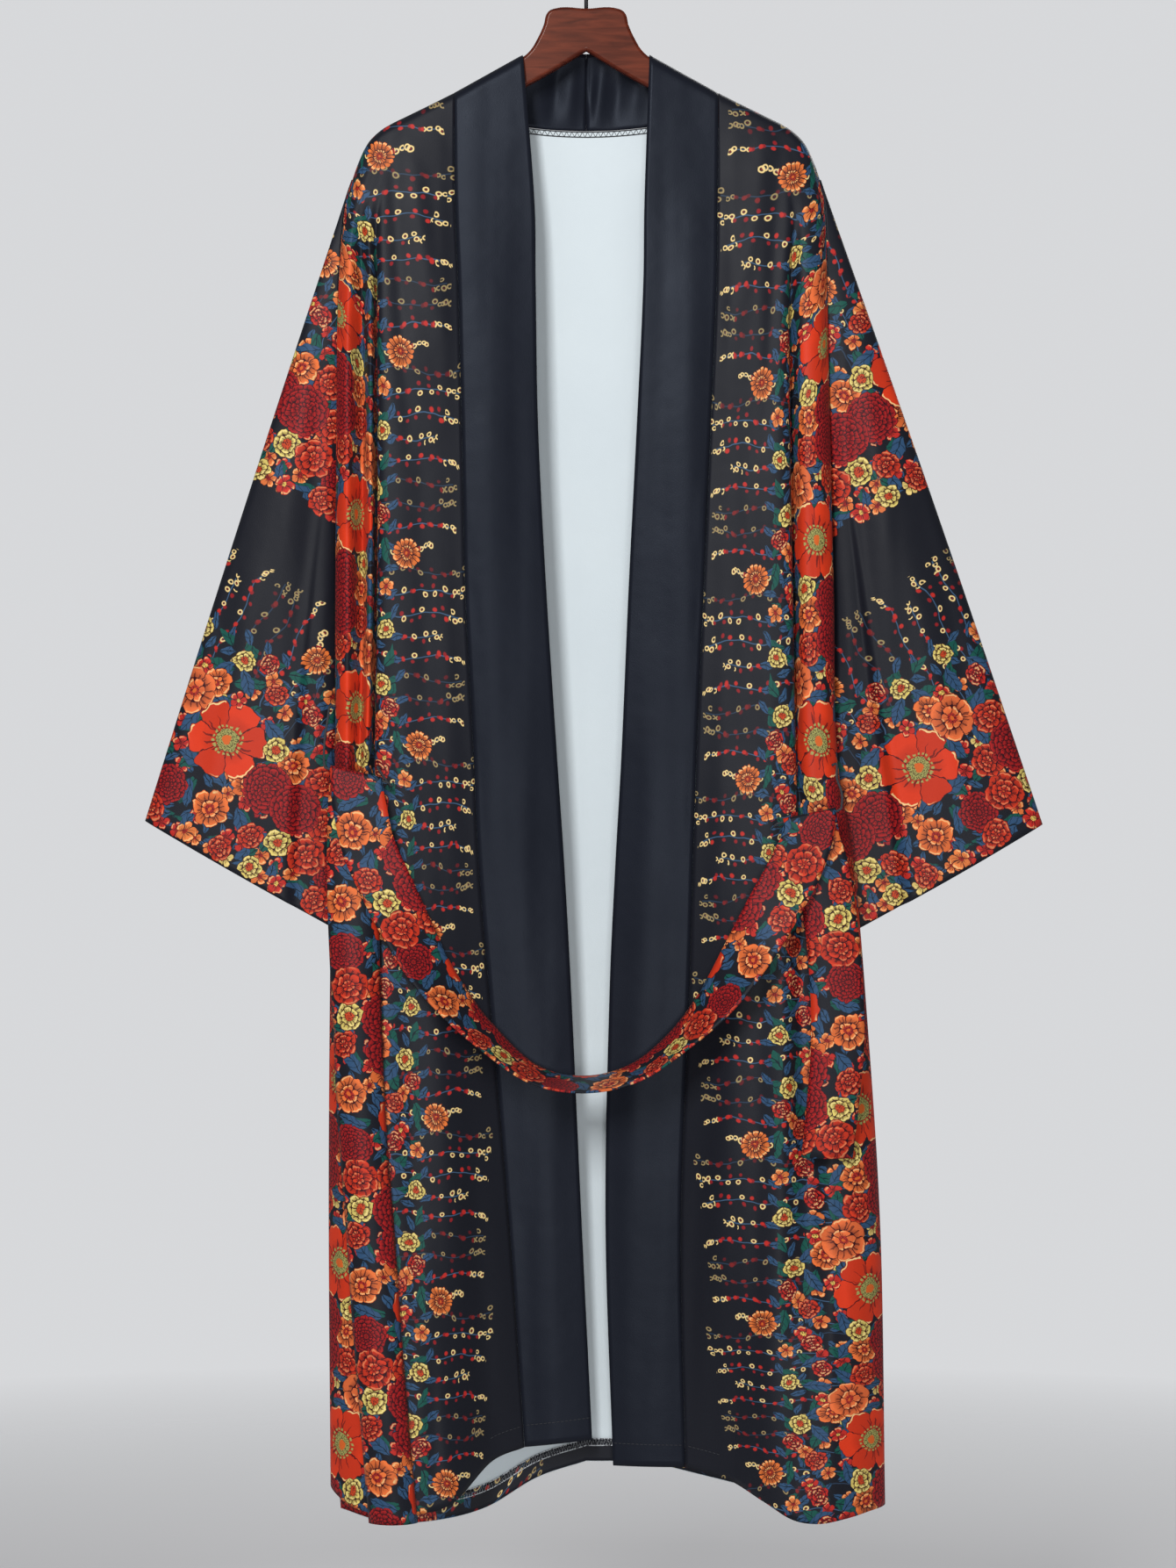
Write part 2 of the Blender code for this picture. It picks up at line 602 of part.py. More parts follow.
def wood(into, cutters):
    """Make the hanger's wooden body, with a bore for the hook's shank."""
    arm = [(x, shoulder_z(x) - WOOD_BELOW_CLOTH) for x in WOOD_ARM_X]
    right = [*WOOD_BLOCK, *arm, *WOOD_ARM_UNDER]
    left = [(-x, z) for x, z in reversed(right[1:-1])]
    outline = bpy.data.curves.new("hanger outline", "CURVE")
    outline.dimensions = "2D"
    outline.fill_mode = "BOTH"
    outline.extrude = (WOOD_DEPTH / 2 - WOOD_EDGE_R) * MM
    outline.bevel_depth = WOOD_EDGE_R * MM
    outline.bevel_resolution = 1
    outline.offset = -WOOD_EDGE_R * MM
    outline.resolution_u = 2
    line = outline.splines.new("BEZIER")
    knots = [*right, *left]
    line.bezier_points.add(len(knots) - 1)
    for knot, (x, z) in zip(line.bezier_points, knots):
        knot.co = (x * MM, z * MM, 0)
        sharp = x == 0
        knot.handle_left_type = knot.handle_right_type = "VECTOR" if sharp else "AUTO"
    line.use_cyclic_u = True
    drawn = bpy.data.objects.new("hanger outline", outline)
    drawn.rotation_euler = (math.radians(90), 0, 0)
    cutters.objects.link(drawn)
    bpy.context.view_layer.update()
    solid = bpy.data.meshes.new_from_object(drawn.evaluated_get(bpy.context.evaluated_depsgraph_get()))
    form = bmesh.new()
    form.from_mesh(solid)
    bmesh.ops.remove_doubles(form, verts=form.verts, dist=0.01 * MM)
    form.to_mesh(solid)
    form.free()
    made = bpy.data.objects.new("hanger_wood", solid)
    made.matrix_world = drawn.matrix_world
    bpy.data.objects.remove(drawn)
    solid.materials.clear()
    solid.materials.append(material("red_brown_wood"))
    into.objects.link(made)
    drill = bmesh.new()
    bore_radius = (HOOK_WIRE_R + GAP + 0.1) * MM
    bmesh.ops.create_cone(drill, cap_ends=True, segments=16, radius1=bore_radius, radius2=bore_radius,
                          depth=2 * SHANK_DEPTH * MM)
    bore = bpy.data.meshes.new("shank bore")
    drill.to_mesh(bore)
    drill.free()
    cutter = bpy.data.objects.new("shank bore", bore)
    cutter.location = (0, 0, WOOD_TOP_Z * MM)
    cutter.hide_render = True
    cutter.display_type = "WIRE"
    cutters.objects.link(cutter)
    drilled = made.modifiers.new("shank bore", "BOOLEAN")
    drilled.operation = "DIFFERENCE"
    drilled.object = cutter


def main():
    clear_scene()
    coat = collection("kimono coat on a hanger")
    cutters = collection("cutters")
    wood(coat, cutters)
    hook(coat)
    bands(coat)
    fronts(coat)
    back(coat)
    sleeves(coat)
    belt(coat)


main()
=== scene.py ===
# %% [markdown]
# # A printed kimono coat on a hanger
#
# The coat is cut from a thin satin that is printed on one side and pale on the other. It hangs nearly
# flat from a lacquered wooden hanger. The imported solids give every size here, so this script loads them
# first and dresses them: each cloth piece is laid again on its solid's own form, with finer folds.

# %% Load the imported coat
import math
from collections import namedtuple
from functools import lru_cache

import bmesh
import bpy
from mathutils import Matrix, Vector


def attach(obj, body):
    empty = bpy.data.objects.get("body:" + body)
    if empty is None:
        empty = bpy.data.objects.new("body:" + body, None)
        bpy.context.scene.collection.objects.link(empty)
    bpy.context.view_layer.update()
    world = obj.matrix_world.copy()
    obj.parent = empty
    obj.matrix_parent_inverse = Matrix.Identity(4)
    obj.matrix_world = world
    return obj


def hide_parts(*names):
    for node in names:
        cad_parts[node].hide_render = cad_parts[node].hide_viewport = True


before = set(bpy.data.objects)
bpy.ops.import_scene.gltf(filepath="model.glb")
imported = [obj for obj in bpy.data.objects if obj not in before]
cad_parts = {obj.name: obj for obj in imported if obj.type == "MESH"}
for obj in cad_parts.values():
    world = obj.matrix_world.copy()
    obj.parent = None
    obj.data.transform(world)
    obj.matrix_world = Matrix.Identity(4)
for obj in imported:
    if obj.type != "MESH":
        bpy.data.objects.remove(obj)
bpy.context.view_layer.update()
print("solids:", sorted(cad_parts))

MM = 0.001


def placed(name, data):
    """Return a new object with this data, linked into the scene."""
    made = bpy.data.objects.new(name, data)
    bpy.context.scene.collection.objects.link(made)
    return made


def eased(share):
    """Return a share from 0 to 1 with a soft start and a soft end."""
    return share * share * (3 - 2 * share)


# %% [markdown]
# Nothing here uses lists of vertices. A piece of cloth is a grid, and a grid needs only a rule that says
# where each of its points goes. The rules below take a few measured stations and run a smooth curve
# through them, the way a cutter bends a spline through marks on a pattern.

# %% Smooth curves through measured stations
def through(knots, points, at):
    """Return the smooth curve through points at rising knots, as Hermite spans with averaged slopes."""
    at = min(max(at, knots[0]), knots[-1])
    span = 0
    while span < len(knots) - 2 and at > knots[span + 1]:
        span += 1

    def slope(i):
        low, high = max(i - 1, 0), min(i + 1, len(knots) - 1)
        return (points[high] - points[low]) / (knots[high] - knots[low])

    width = knots[span + 1] - knots[span]
    t = (at - knots[span]) / width
    start, end = points[span], points[span + 1]
    rise, fall = slope(span) * width, slope(span + 1) * width
    return (start * (2 * t**3 - 3 * t**2 + 1) + rise * (t**3 - 2 * t**2 + t)
            + end * (3 * t**2 - 2 * t**3) + fall * (t**3 - t**2))


class Stations(tuple):
    """Numbers that are added and scaled together, one by one."""

    def __add__(self, other):
        return Stations(a + b for a, b in zip(self, other))

    def __sub__(self, other):
        return Stations(a - b for a, b in zip(self, other))

    def __mul__(self, factor):
        return Stations(a * factor for a in self)

    def __truediv__(self, factor):
        return Stations(a / factor for a in self)


def through_evenly(points, at):
    """Return the smooth curve through evenly spaced points, at a share of its length."""
    knots = list(range(len(points)))
    return through(knots, points, at * (len(points) - 1))


def from_table(table, at):
    """Return a smooth value read from rows of (where, value)."""
    return through([row[0] for row in table], [row[1] for row in table], at)


# %% [markdown]
# The coat's sizes, in millimetres. Each section of a front is taken at one height, and each station in it
# is (distance from the centre, how far forward). The stations run from the neck band's free edge, over
# the two pressed folds, round to the side seam.

# %% The coat's measured sections
CLOTH = 1.0
GAP = 0.3
RIDGE_R = 8.0
RIDGE_HALF_DEPTH = 10.0
ARMPIT_Z = -505.0
ARMHOLE_HALF_DEPTH = 12.0
ARMPIT_BACK = 8.0
SLEEVE_CLEARANCE = 0.8
SIDE_SEAM_HALF_GAP = 0.55
NECK_SEAM_HALF = 0.35
CENTRE_SEAM_HALF = 0.03
BACK_SPREAD_DROP = 50.0
BAND_BULGE = 2.5

SHOULDER = ((51, -100.5), (82, -117.5), (113, -135), (146, -151.5), (176, -167.5), (190, -184), (199, -208.5))
SHOULDER_END = SHOULDER[-1]

Section = namedtuple("Section", "z edge seam panel brow groove pleat notch roll turn side")
AT_RIDGE = Section(None, (54, 10), (113, 10), (128, 10), (143, 10), (155, 10), (166, 10), (176, 10), (186, 9),
                   (194, 6), 199)
FRONTS = {
    "left": (
        AT_RIDGE,
        Section(-230, (44, 13), (112, 14), (143, 18), (169, 19), (177, 18), (184, 18), (191, 17), (198, 15),
                (203, 9), 205),
        Section(-300, (43, 15), (109, 18), (141, 23), (173, 24), (178, 13), (183, 24), (191, 13), (201, 24),
                (209.5, 15), 210.5),
        Section(-420, (41, 16), (106, 20), (140, 25), (173, 26), (178, 7), (183, 24), (191, 8), (202, 26),
                (211.5, 15), 212),
        Section(-560, (34, 15), (103, 20), (138, 26), (173, 27), (178, 7), (183, 25), (191, 9), (202, 27),
                (212.5, 14), 213),
        Section(-700, (25, 12), (96, 18), (134, 27), (174, 28), (180, 12), (186, 26), (193, 15), (203, 27),
                (213, 13), 213.5),
        Section(-790, (19, 8), (92, 16), (132, 28), (169, 30), (181, 27), (190, 27), (198, 26), (207, 23),
                (216, 10), 214),
        Section(-900, (13, 4), (83, 10), (125, 28), (160, 34), (177, 33), (190, 31), (200, 29), (210, 23),
                (218, 8), 215),
        Section(-1100, (4, -2), (66, 2), (108, 26), (145, 39), (168, 40), (184, 37), (197, 32), (209, 24),
                (219, 8), 215),
    ),
    "right": (
        AT_RIDGE,
        Section(-230, (49.5, 13), (112, 14), (143, 18), (168, 19), (176, 18), (184, 18), (191, 17), (197, 14),
                (201, 8), 202.5),
        Section(-300, (48.5, 15), (111, 18), (140, 23), (168, 24), (174, 15), (182, 22), (190, 23), (198, 20),
                (203.5, 12), 205),
        Section(-420, (43, 16), (106, 20), (138, 25), (169, 26), (174, 8), (182, 23), (191, 26), (200, 23),
                (206.5, 13), 207.5),
        Section(-560, (36, 15), (100, 20), (135, 26), (171, 27), (176, 8), (184, 25), (194, 27), (203, 24),
                (210, 13), 210.5),
        Section(-700, (30, 12), (94, 18), (132, 27), (173, 28), (178, 12), (186, 26), (196, 28), (206, 25),
                (213, 12), 213),
        Section(-790, (25, 8), (91, 15), (131, 28), (170, 30), (184, 28), (196, 28), (208, 27), (218, 23),
                (227, 10), 224),
        Section(-900, (20, 4), (88, 10), (130, 28), (165, 34), (181, 24), (196, 29), (212, 31), (226, 26),
                (237, 10), 233),
        Section(-1100, (16.5, -2), (81, 2), (121, 25), (159, 38), (184, 31), (204, 36), (223, 36), (240, 26),
                (250, 9), 245),
    ),
}
Hem = namedtuple("Hem", "edge seam panel brow groove pleat notch roll turn side")
HEMS = {
    "left": Hem((-5, -9, -1286), (53, -6, -1292), (81, 8, -1302), (112, 38, -1331), (141, 45, -1340),
                (163, 43, -1344), (182, 37, -1340), (201, 27, -1335), (217, 9, -1323), (214, -8, -1314)),
    "right": Hem((23, -8, -1308), (85, -5, -1309), (121, 10, -1317), (150, 34, -1331), (173, 44, -1344),
                 (195, 44, -1348), (218, 38, -1345), (237, 28, -1341), (254, 9, -1338), (249, -8, -1333)),
}
BandTurn = namedtuple("BandTurn", "edge seam")
BAND_ROUND_NECK = (
    BandTurn((54, 0, -102), (113, 0, -135)), BandTurn((54, 6, -103), (111, 6, -134.8)),
    BandTurn((54, 9.5, -106), (107, 9.5, -137)), BandTurn((53, 12, -109), (100, 12.5, -143)),
    BandTurn((49, 14, -110), (91, 15.5, -149)), BandTurn((42, 16, -107), (79, 18, -154)),
    BandTurn((33, 18, -102.5), (63, 20.5, -158.5)), BandTurn((20, 19.5, -99), (43, 22.5, -161)),
    BandTurn((9, 20.3, -97), (21, 24, -162.5)), BandTurn((0, 20.5, -97), (0, 24.5, -163)),
)
BACK_AT = (0, 0.25, 0.45, 0.6, 0.8, 0.95)
BackSection = namedtuple("BackSection", "z centre inner mid outer blade turn")
BACK = (
    BackSection(-230, 27, 26, 24, 23, 21, 19), BackSection(-300, 31, 30, 28, 27, 25, 21),
    BackSection(-420, 34, 33, 32, 31, 29, 24), BackSection(-560, 36, 34, 34, 34, 31, 24),
    BackSection(-700, 36, 34, 36, 35, 31, 23), BackSection(-900, 36, 33, 37, 36, 31, 22),
    BackSection(-1100, 36, 34, 36, 33, 27, 20),
)
BACK_HEMS = {
    "left": ((35, -1309), (32, -1323), (24, -1347), (18, -1357), (14, -1358), (15, -1345)),
    "right": ((35, -1309), (33, -1310), (28, -1320), (24, -1332), (18, -1346), (16, -1347)),
}
Sleeve = namedtuple("Sleeve", "cuff_top cuff_mid cuff_low_z fold_share fold_depth")
SLEEVES = {
    "left": Sleeve((377, -756), (299, -801), -848, (0.62, 0.78), 5),
    "right": Sleeve((390, -759), (312, -804.5), -850, (0.60, 0.74), 13),
}
SLEEVE_TOP_BOW = 1.5
SLEEVE_HALF_DEPTH = 17.0
SLEEVE_FOLD_SHARE = 0.07
CUFF_CENTRE = 6.0
print("sections on each front:", len(FRONTS["left"]) + 1)


# %% [markdown]
# The rules that put the cloth in place are worked out for the right side and mirrored for the left. A
# station is the same for a whole row of a piece, so it is kept once it has been worked out.

# %% Where the cloth goes
def shoulder_z(out):
    """Return the height of the cloth's ridge at this distance from the centre."""
    return from_table(SHOULDER, out)


def ridge_share(out, drop):
    """Return how much of its full depth the cloth has, this far down from the ridge: a quarter round."""
    slope = abs(shoulder_z(out + 1) - shoulder_z(out - 1)) / 2
    away = min(1, max(0, drop) / math.hypot(1, slope) / RIDGE_R)
    return math.sqrt(1 - (1 - away) ** 2)


def armhole_depth(z):
    """Return the armhole's centre plane, measured towards the back, and its half depth at this height."""
    down = (SHOULDER_END[1] - z) / (SHOULDER_END[1] - ARMPIT_Z)
    if down >= 1:
        return ARMPIT_BACK, 0.0
    down = max(down, 0.0)
    return ARMPIT_BACK * down, ARMHOLE_HALF_DEPTH * (2 * math.sqrt(down * (1 - down))) ** 0.6


@lru_cache(maxsize=None)
def side_out(side, z):
    """Return how far from the centre this side's seam is, at this height."""
    rows = FRONTS[side]
    hem = HEMS[side].side
    knots = [-SHOULDER_END[1]] + [-row.z for row in rows[1:]] + [-hem[2]]
    return through(knots, [row.side for row in rows] + [hem[0]], -z)


@lru_cache(maxsize=None)
def front_numbers(side, name, share):
    """Return a station of a front at a share of its length from ridge to hem, as three numbers."""
    rows = FRONTS[side]
    hem = getattr(HEMS[side], name)
    top = getattr(rows[0], name)
    top_out = top if name == "side" else top[0]
    top_z = shoulder_z(top_out)
    z = top_z + (hem[2] - top_z) * share
    if name == "side":
        centre, half = armhole_depth(z)
        return side_out(side, z), centre - max(half, SIDE_SEAM_HALF_GAP), z
    knots = [-top_z] + [-row.z for row in rows[1:]] + [-hem[2]]
    stations = [Vector(getattr(row, name)) for row in rows] + [Vector(hem[:2])]
    out, forward = through(knots, stations, -z)
    return out, -forward * ridge_share(top_out, top_z - z) - GAP, z


def front_station(side, name, share):
    """Return a station of a front as a point."""
    return Vector(front_numbers(side, name, share))


def front_flat(side, across, share):
    """Return a point of a front in millimetres, from the band's seam at 0 to the side seam at 1."""
    return through_evenly([front_station(side, name, share) for name in Section._fields[2:]], across)


def neckline(name, turn):
    """Return a point of the band's free edge or seam, from the ridge at 0 to the centre back at 1."""
    return through_evenly([Vector(getattr(row, name)) for row in BAND_ROUND_NECK], turn)


def band_flat(side, across, share):
    """Return a point of the neck band: share 0 to 1 from hem to ridge, then to 2 at the centre back."""
    if share <= 1:
        edge = front_station(side, "edge", 1 - share)
        seam = front_station(side, "seam", 1 - share)
        panel = front_station(side, "panel", 1 - share)
        seam += (seam - panel).normalized() * NECK_SEAM_HALF
    else:
        edge = neckline("edge", share - 1)
        seam = neckline("seam", share - 1)
        edge.y -= GAP * (2 - share)
        seam.y -= GAP * (2 - share)
        seam += (edge - seam).normalized() * NECK_SEAM_HALF
    point = edge.lerp(seam, across)
    bulge = BAND_BULGE * math.sin(math.pi * across) * min(1, abs(share - 1) * 4)
    point.y -= bulge if share <= 1 else -bulge
    if share > 1:
        point.x = max(point.x, CENTRE_SEAM_HALF)
    return point


@lru_cache(maxsize=None)
def back_top(beside, turn):
    """Return a point of the back's top edge: round the neckline at turn above 0, then along the shoulder."""
    seam = neckline("seam", turn)
    seam -= (neckline("edge", turn) - seam).normalized() * NECK_SEAM_HALF
    seam.y = max(seam.y, GAP)
    if beside:
        out = seam.x + (SHOULDER_END[0] - seam.x) * beside
        seam = Vector((out, GAP, shoulder_z(out)))
    return tuple(seam)


NECK_SHARE = 9 / 16


def back_flat(side, at, share):
    """Return a point of the back, by its share of the way from the centre to the side seam."""
    beside = max(0, at - NECK_SHARE) / (1 - NECK_SHARE)
    top = Vector(back_top(beside, max(0, 1 - at / NECK_SHARE)))
    hem_depth, hem_z = through_evenly([Vector(hem) for hem in BACK_HEMS[side]], at)
    if at == 1:
        z = top.z + (HEMS[side].side[2] - top.z) * share
        centre, half = armhole_depth(z)
        return Vector((side_out(side, z) - SIDE_SEAM_HALF_GAP, centre + max(half, SIDE_SEAM_HALF_GAP), z))
    z = top.z + (hem_z - top.z) * share
    knots = [-top.z] + [-row.z for row in BACK] + [-hem_z]
    start = max(top.y, RIDGE_HALF_DEPTH)
    depth = through(knots, [start] + [through(BACK_AT, row[1:], at) for row in BACK] + [hem_depth], -z)
    depth = top.y + (depth - top.y) * ridge_share(max(top.x, SHOULDER[1][0]), top.z - z)
    spread = eased(min(1, (top.z - z) / BACK_SPREAD_DROP))
    out = top.x + (side_out(side, min(z, SHOULDER_END[1])) * at - top.x) * spread
    return Vector((out, depth, z))


def sleeve_flat(side, around, along):
    """Return a point of a sleeve: around 0 to 1 from the front's underarm edge, over the top fold, to
    the back's; along 0 to 1 from the armhole to the cuff."""
    def beside(z):
        return Vector((side_out(side, z) + SLEEVE_CLEARANCE, z))

    made = SLEEVES[side]
    turn = math.pi * abs(2 * around - 1)
    inward = (1 - math.cos(turn)) / 2
    drop = SHOULDER_END[1] - (SHOULDER_END[1] - ARMPIT_Z) * inward
    cuff_top, cuff_low = Vector(made.cuff_top), beside(made.cuff_low_z)
    cuff = through_evenly([cuff_top, Vector(made.cuff_mid), cuff_low], inward)
    shoulder_end = Vector((SHOULDER_END[0] + SLEEVE_CLEARANCE, SHOULDER_END[1]))
    top = shoulder_end.lerp(cuff_top, along)
    top.x += SLEEVE_TOP_BOW * math.sin(math.pi * along)
    low = beside(ARMPIT_Z + (made.cuff_low_z - ARMPIT_Z) * along)
    blend = shoulder_end.lerp(beside(ARMPIT_Z), inward).lerp(cuff_top.lerp(cuff_low, inward), along)
    flat = beside(drop).lerp(cuff, along) + top.lerp(low, inward) - blend
    centre, half = armhole_depth(drop)
    roundness = max(math.sin(turn), 0) ** 0.6
    centre += (CUFF_CENTRE - centre) * along
    half += (SLEEVE_HALF_DEPTH * roundness - half) * min(1, along * 2.5)
    at = made.fold_share[0] + (made.fold_share[1] - made.fold_share[0]) * along
    step = eased(min(1, max(0, (inward - at) / SLEEVE_FOLD_SHARE + 0.5)))
    recess = made.fold_depth * step * min(1, max(0, (along - 0.15) / 0.5)) * roundness
    front = around < 0.5
    offset = max(half - (recess if front else 0), SIDE_SEAM_HALF_GAP)
    if around == 0.5:
        offset = 0
    return Vector((flat.x, centre - offset if front else centre + offset, flat.y))


# %% [markdown]
# Satin creases softly where it is pulled or has been folded. Each crease is given as a line with
# its own width and depth, and the cloth bends forward or back along it. They differ in length, spacing
# and depth, as real ones do.

# %% Creases, listed one by one
Crease = namedtuple("Crease", "x0 z0 x1 z1 width depth")
CREASES = {
    "front": (
        Crease(150, -190, 128, -330, 9, 1.6), Crease(164, -200, 152, -420, 7, -1.8),
        Crease(122, -200, 118, -390, 10, 1.0), Crease(140, -420, 134, -700, 11, -1.2),
        Crease(118, -560, 112, -840, 8, 0.9), Crease(158, -640, 150, -860, 8, 1.3),
        Crease(126, -900, 112, -1180, 12, 2.2), Crease(150, -880, 142, -1240, 9, -2.0),
        Crease(172, -860, 168, -1120, 8, 1.8), Crease(192, -900, 190, -1250, 7, -2.2),
        Crease(96, -1040, 84, -1270, 9, -1.4), Crease(206, -1000, 208, -1290, 6, 1.6),
        Crease(131, -1200, 126, -1330, 7, -1.6), Crease(182, -1180, 178, -1340, 8, 1.9),
    ),
    "band": (
        Crease(92, -300, 80, -760, 12, 0.9), Crease(66, -260, 52, -620, 10, -0.8),
        Crease(58, -700, 34, -1100, 12, 1.0), Crease(76, -840, 50, -1240, 9, -0.9),
        Crease(100, -470, 97, -520, 4, 1.1), Crease(97, -560, 94, -596, 4, -1.0),
        Crease(95, -640, 92, -690, 5, 1.2), Crease(92, -720, 90, -770, 4, -1.1),
    ),
    "neck": (
        Crease(16, -100, 8, -160, 5, 2.6), Crease(5, -104, 2, -150, 3.5, -2.0),
        Crease(30, -104, 24, -158, 5, -1.8), Crease(44, -108, 40, -156, 6, 1.6),
        Crease(-9, -100, -16, -158, 6, 2.2), Crease(-24, -102, -30, -154, 5, -2.0),
        Crease(-40, -108, -44, -156, 7, 1.2),
    ),
    "back": (
        Crease(-30, -200, -40, -760, 22, 2.2), Crease(34, -230, 52, -700, 18, -2.0),
        Crease(96, -260, 84, -880, 24, 2.6), Crease(-104, -240, -92, -640, 20, -2.4),
        Crease(150, -300, 158, -720, 16, 1.8), Crease(-156, -330, -164, -820, 18, 2.0),
        Crease(0, -800, 8, -1290, 26, -2.6), Crease(-68, -860, -78, -1320, 20, 2.8),
        Crease(72, -900, 80, -1300, 18, 2.4), Crease(-132, -880, -126, -1340, 16, -2.2),
        Crease(138, -960, 150, -1330, 20, -2.8), Crease(186, -900, 196, -1320, 12, 1.8),
    ),
    "sleeve": (
        Crease(232, -330, 262, -560, 9, 1.8), Crease(226, -420, 250, -640, 8, -2.0),
        Crease(262, -470, 312, -720, 12, 2.0), Crease(286, -480, 340, -700, 9, -1.4),
        Crease(236, -600, 262, -790, 9, 1.8), Crease(300, -640, 330, -770, 8, 1.2),
        Crease(222, -560, 232, -760, 6, 1.5), Crease(216, -300, 222, -470, 6, 1.6),
    ),
}


def creased(kind, x, z):
    """Return how far the creases of this kind of piece move the cloth here, in millimetres."""
    moved = 0
    for crease in CREASES[kind]:
        dx, dz = crease.x1 - crease.x0, crease.z1 - crease.z0
        length = dx * dx + dz * dz
        along = ((x - crease.x0) * dx + (z - crease.z0) * dz) / length
        if -0.2 < along < 1.2:
            away = ((x - crease.x0) * dz - (z - crease.z0) * dx) / math.sqrt(length) / crease.width
            if abs(away) < 3:
                fade = math.sin(math.pi * (along + 0.2) / 1.4)
                moved += crease.depth * math.exp(-away * away) * fade
    return moved


print("creases placed by hand:", sum(len(made) for made in CREASES.values()))


# %% [markdown]
# The printed border runs up each front beside the side seam, up the back along both side seams, and
# across the sleeves twice. So each point of the cloth carries a place in the print, in metres: how far
# along the border, and how far in from the border's own edge. The rows of blossom were matched by height
# to the real coat, where each repeat is about 161 mm.

# %% Where the print lies on each piece
REPEAT = 161.0
BLOSSOM_ROWS = {
    "left": (-190, -358, -529, -692, -851, -1007, -1161, -1315),
    "right": (-208, -385, -551, -721, -876, -1030, -1180, -1306),
}
BORDER_AT_SEAM = ((135, 245), (700, 245), (900, 250), (1100, 262), (1350, 282))
BORDER_AT_SIDE = ((135, 157), (230, 140), (300, 92), (420, 45), (700, 42), (900, 55), (1100, 58), (1350, 60))
ABOVE_ROWS = 170
BELOW_ROWS = 160
CHRYSANTHEMUM_ALONG = 120.0
SECOND_BORDER = 299.0
CUFF_START = {"left": 150.0, "right": 109.0}


def border_along(side, z):
    """Return how far along the border this height is, so that the blossom rows fall where they should."""
    rows = BLOSSOM_ROWS[side]
    knots = [-rows[0] - ABOVE_ROWS, *[-row for row in rows], -rows[-1] + BELOW_ROWS]
    steps = [REPEAT * i + CHRYSANTHEMUM_ALONG for i in range(-1, len(rows) + 1)]
    return through(knots, steps, -z)


def border_in(across, z):
    """Return how far in from the border's edge, from the band's seam at 0 to the side seam at 1."""
    seam, side = from_table(BORDER_AT_SEAM, -z), from_table(BORDER_AT_SIDE, -z)
    return seam + (side - seam) * across


def sleeve_print(side, point):
    """Return a sleeve point's place in the print: along the cuff, and up from it."""
    made = SLEEVES[side]
    low = Vector((side_out(side, made.cuff_low_z), made.cuff_low_z))
    along = (low - Vector(made.cuff_top)).normalized()
    up = Vector((along.y, -along.x))
    if up.y < 0:
        up = -up
    away = Vector((point.x, point.z)) - Vector(made.cuff_mid)
    return away.dot(along) + CUFF_START[side], away.dot(up)


# %% [markdown]
# One function makes every cloth piece. It lays a grid, moves its points to where a rule says, gives each
# corner its place in the print, turns the printed side outwards, and lets Solidify add the thickness. The
# reverse of the cloth is pale, so Solidify gives the inner wall the second material.

# %% Laying a piece of cloth
def flipped(side, point):
    """Return a point that was worked out for the right in millimetres, on its own side and in metres."""
    return Vector((point.x if side == "right" else -point.x, point.y, point.z)) * MM


def cloth(name, columns, rows, place, outward, thickness=CLOTH):
    """Return a sheet whose grid points a rule puts in place; the rule gives (point, place in the print)."""
    form = bmesh.new()
    bmesh.ops.create_grid(form, x_segments=columns, y_segments=rows, size=1)
    printed = {}
    for vert in form.verts:
        column = round((vert.co.x + 1) / 2 * columns)
        row = round((vert.co.y + 1) / 2 * rows)
        vert.co, printed[vert.index] = place(column, row)
    form.normal_update()
    facing = sum(face.normal.dot(outward(face.calc_center_median())) for face in form.faces)
    if facing < 0:
        bmesh.ops.reverse_faces(form, faces=form.faces)
    layer = form.loops.layers.uv.new("print")
    for face in form.faces:
        for loop in face.loops:
            u, v = printed[loop.vert.index]
            loop[layer].uv = (u * MM, v * MM)
    mesh = bpy.data.meshes.new(name)
    form.to_mesh(mesh)
    form.free()
    mesh.shade_smooth()
    made = placed(name, mesh)
    wall = made.modifiers.new("cloth thickness", "SOLIDIFY")
    wall.thickness = thickness * MM
    wall.offset = 0
    wall.use_even_offset = False
    wall.material_offset = 1
    wall.material_offset_rim = 0
    return made


def shares(count, fine=(0, 0.35, 0.7, 1.6, 2.8, 4.4, 6.5, 9.2, 12.5), length=1160.0):
    """Return rows as shares of a long panel's length, close together at the ridge."""
    first = [drop / length for drop in fine]
    return first + [first[-1] + (1 - first[-1]) * i / count for i in range(1, count + 1)]


LONG_SHARES = shares(210)

# %% [markdown]
# The two fronts hang in pressed folds beside the arm. The width of cloth inside the folds is real width,
# so the print is laid by the distance along the cloth and not by how wide the front looks.

# %% The fronts
FRONT_COLUMNS = 100
HELD_AT_BAND = 12
HELD_AT_SIDE = 6


def front_row(side, share):
    """Return one row of a front as [(point in millimetres, share of its width along the cloth), ...]."""
    line = [front_flat(side, i / FRONT_COLUMNS, share) for i in range(FRONT_COLUMNS + 1)]
    walked = [0]
    for before, after in zip(line, line[1:]):
        walked.append(walked[-1] + (after - before).length)
    for point in line:
        held = min(1, abs(point.x - line[0].x) / HELD_AT_BAND, abs(line[-1].x - point.x) / HELD_AT_SIDE)
        point.y -= creased("front", point.x, point.z) * held
    return [(point, at / walked[-1]) for point, at in zip(line, walked)]


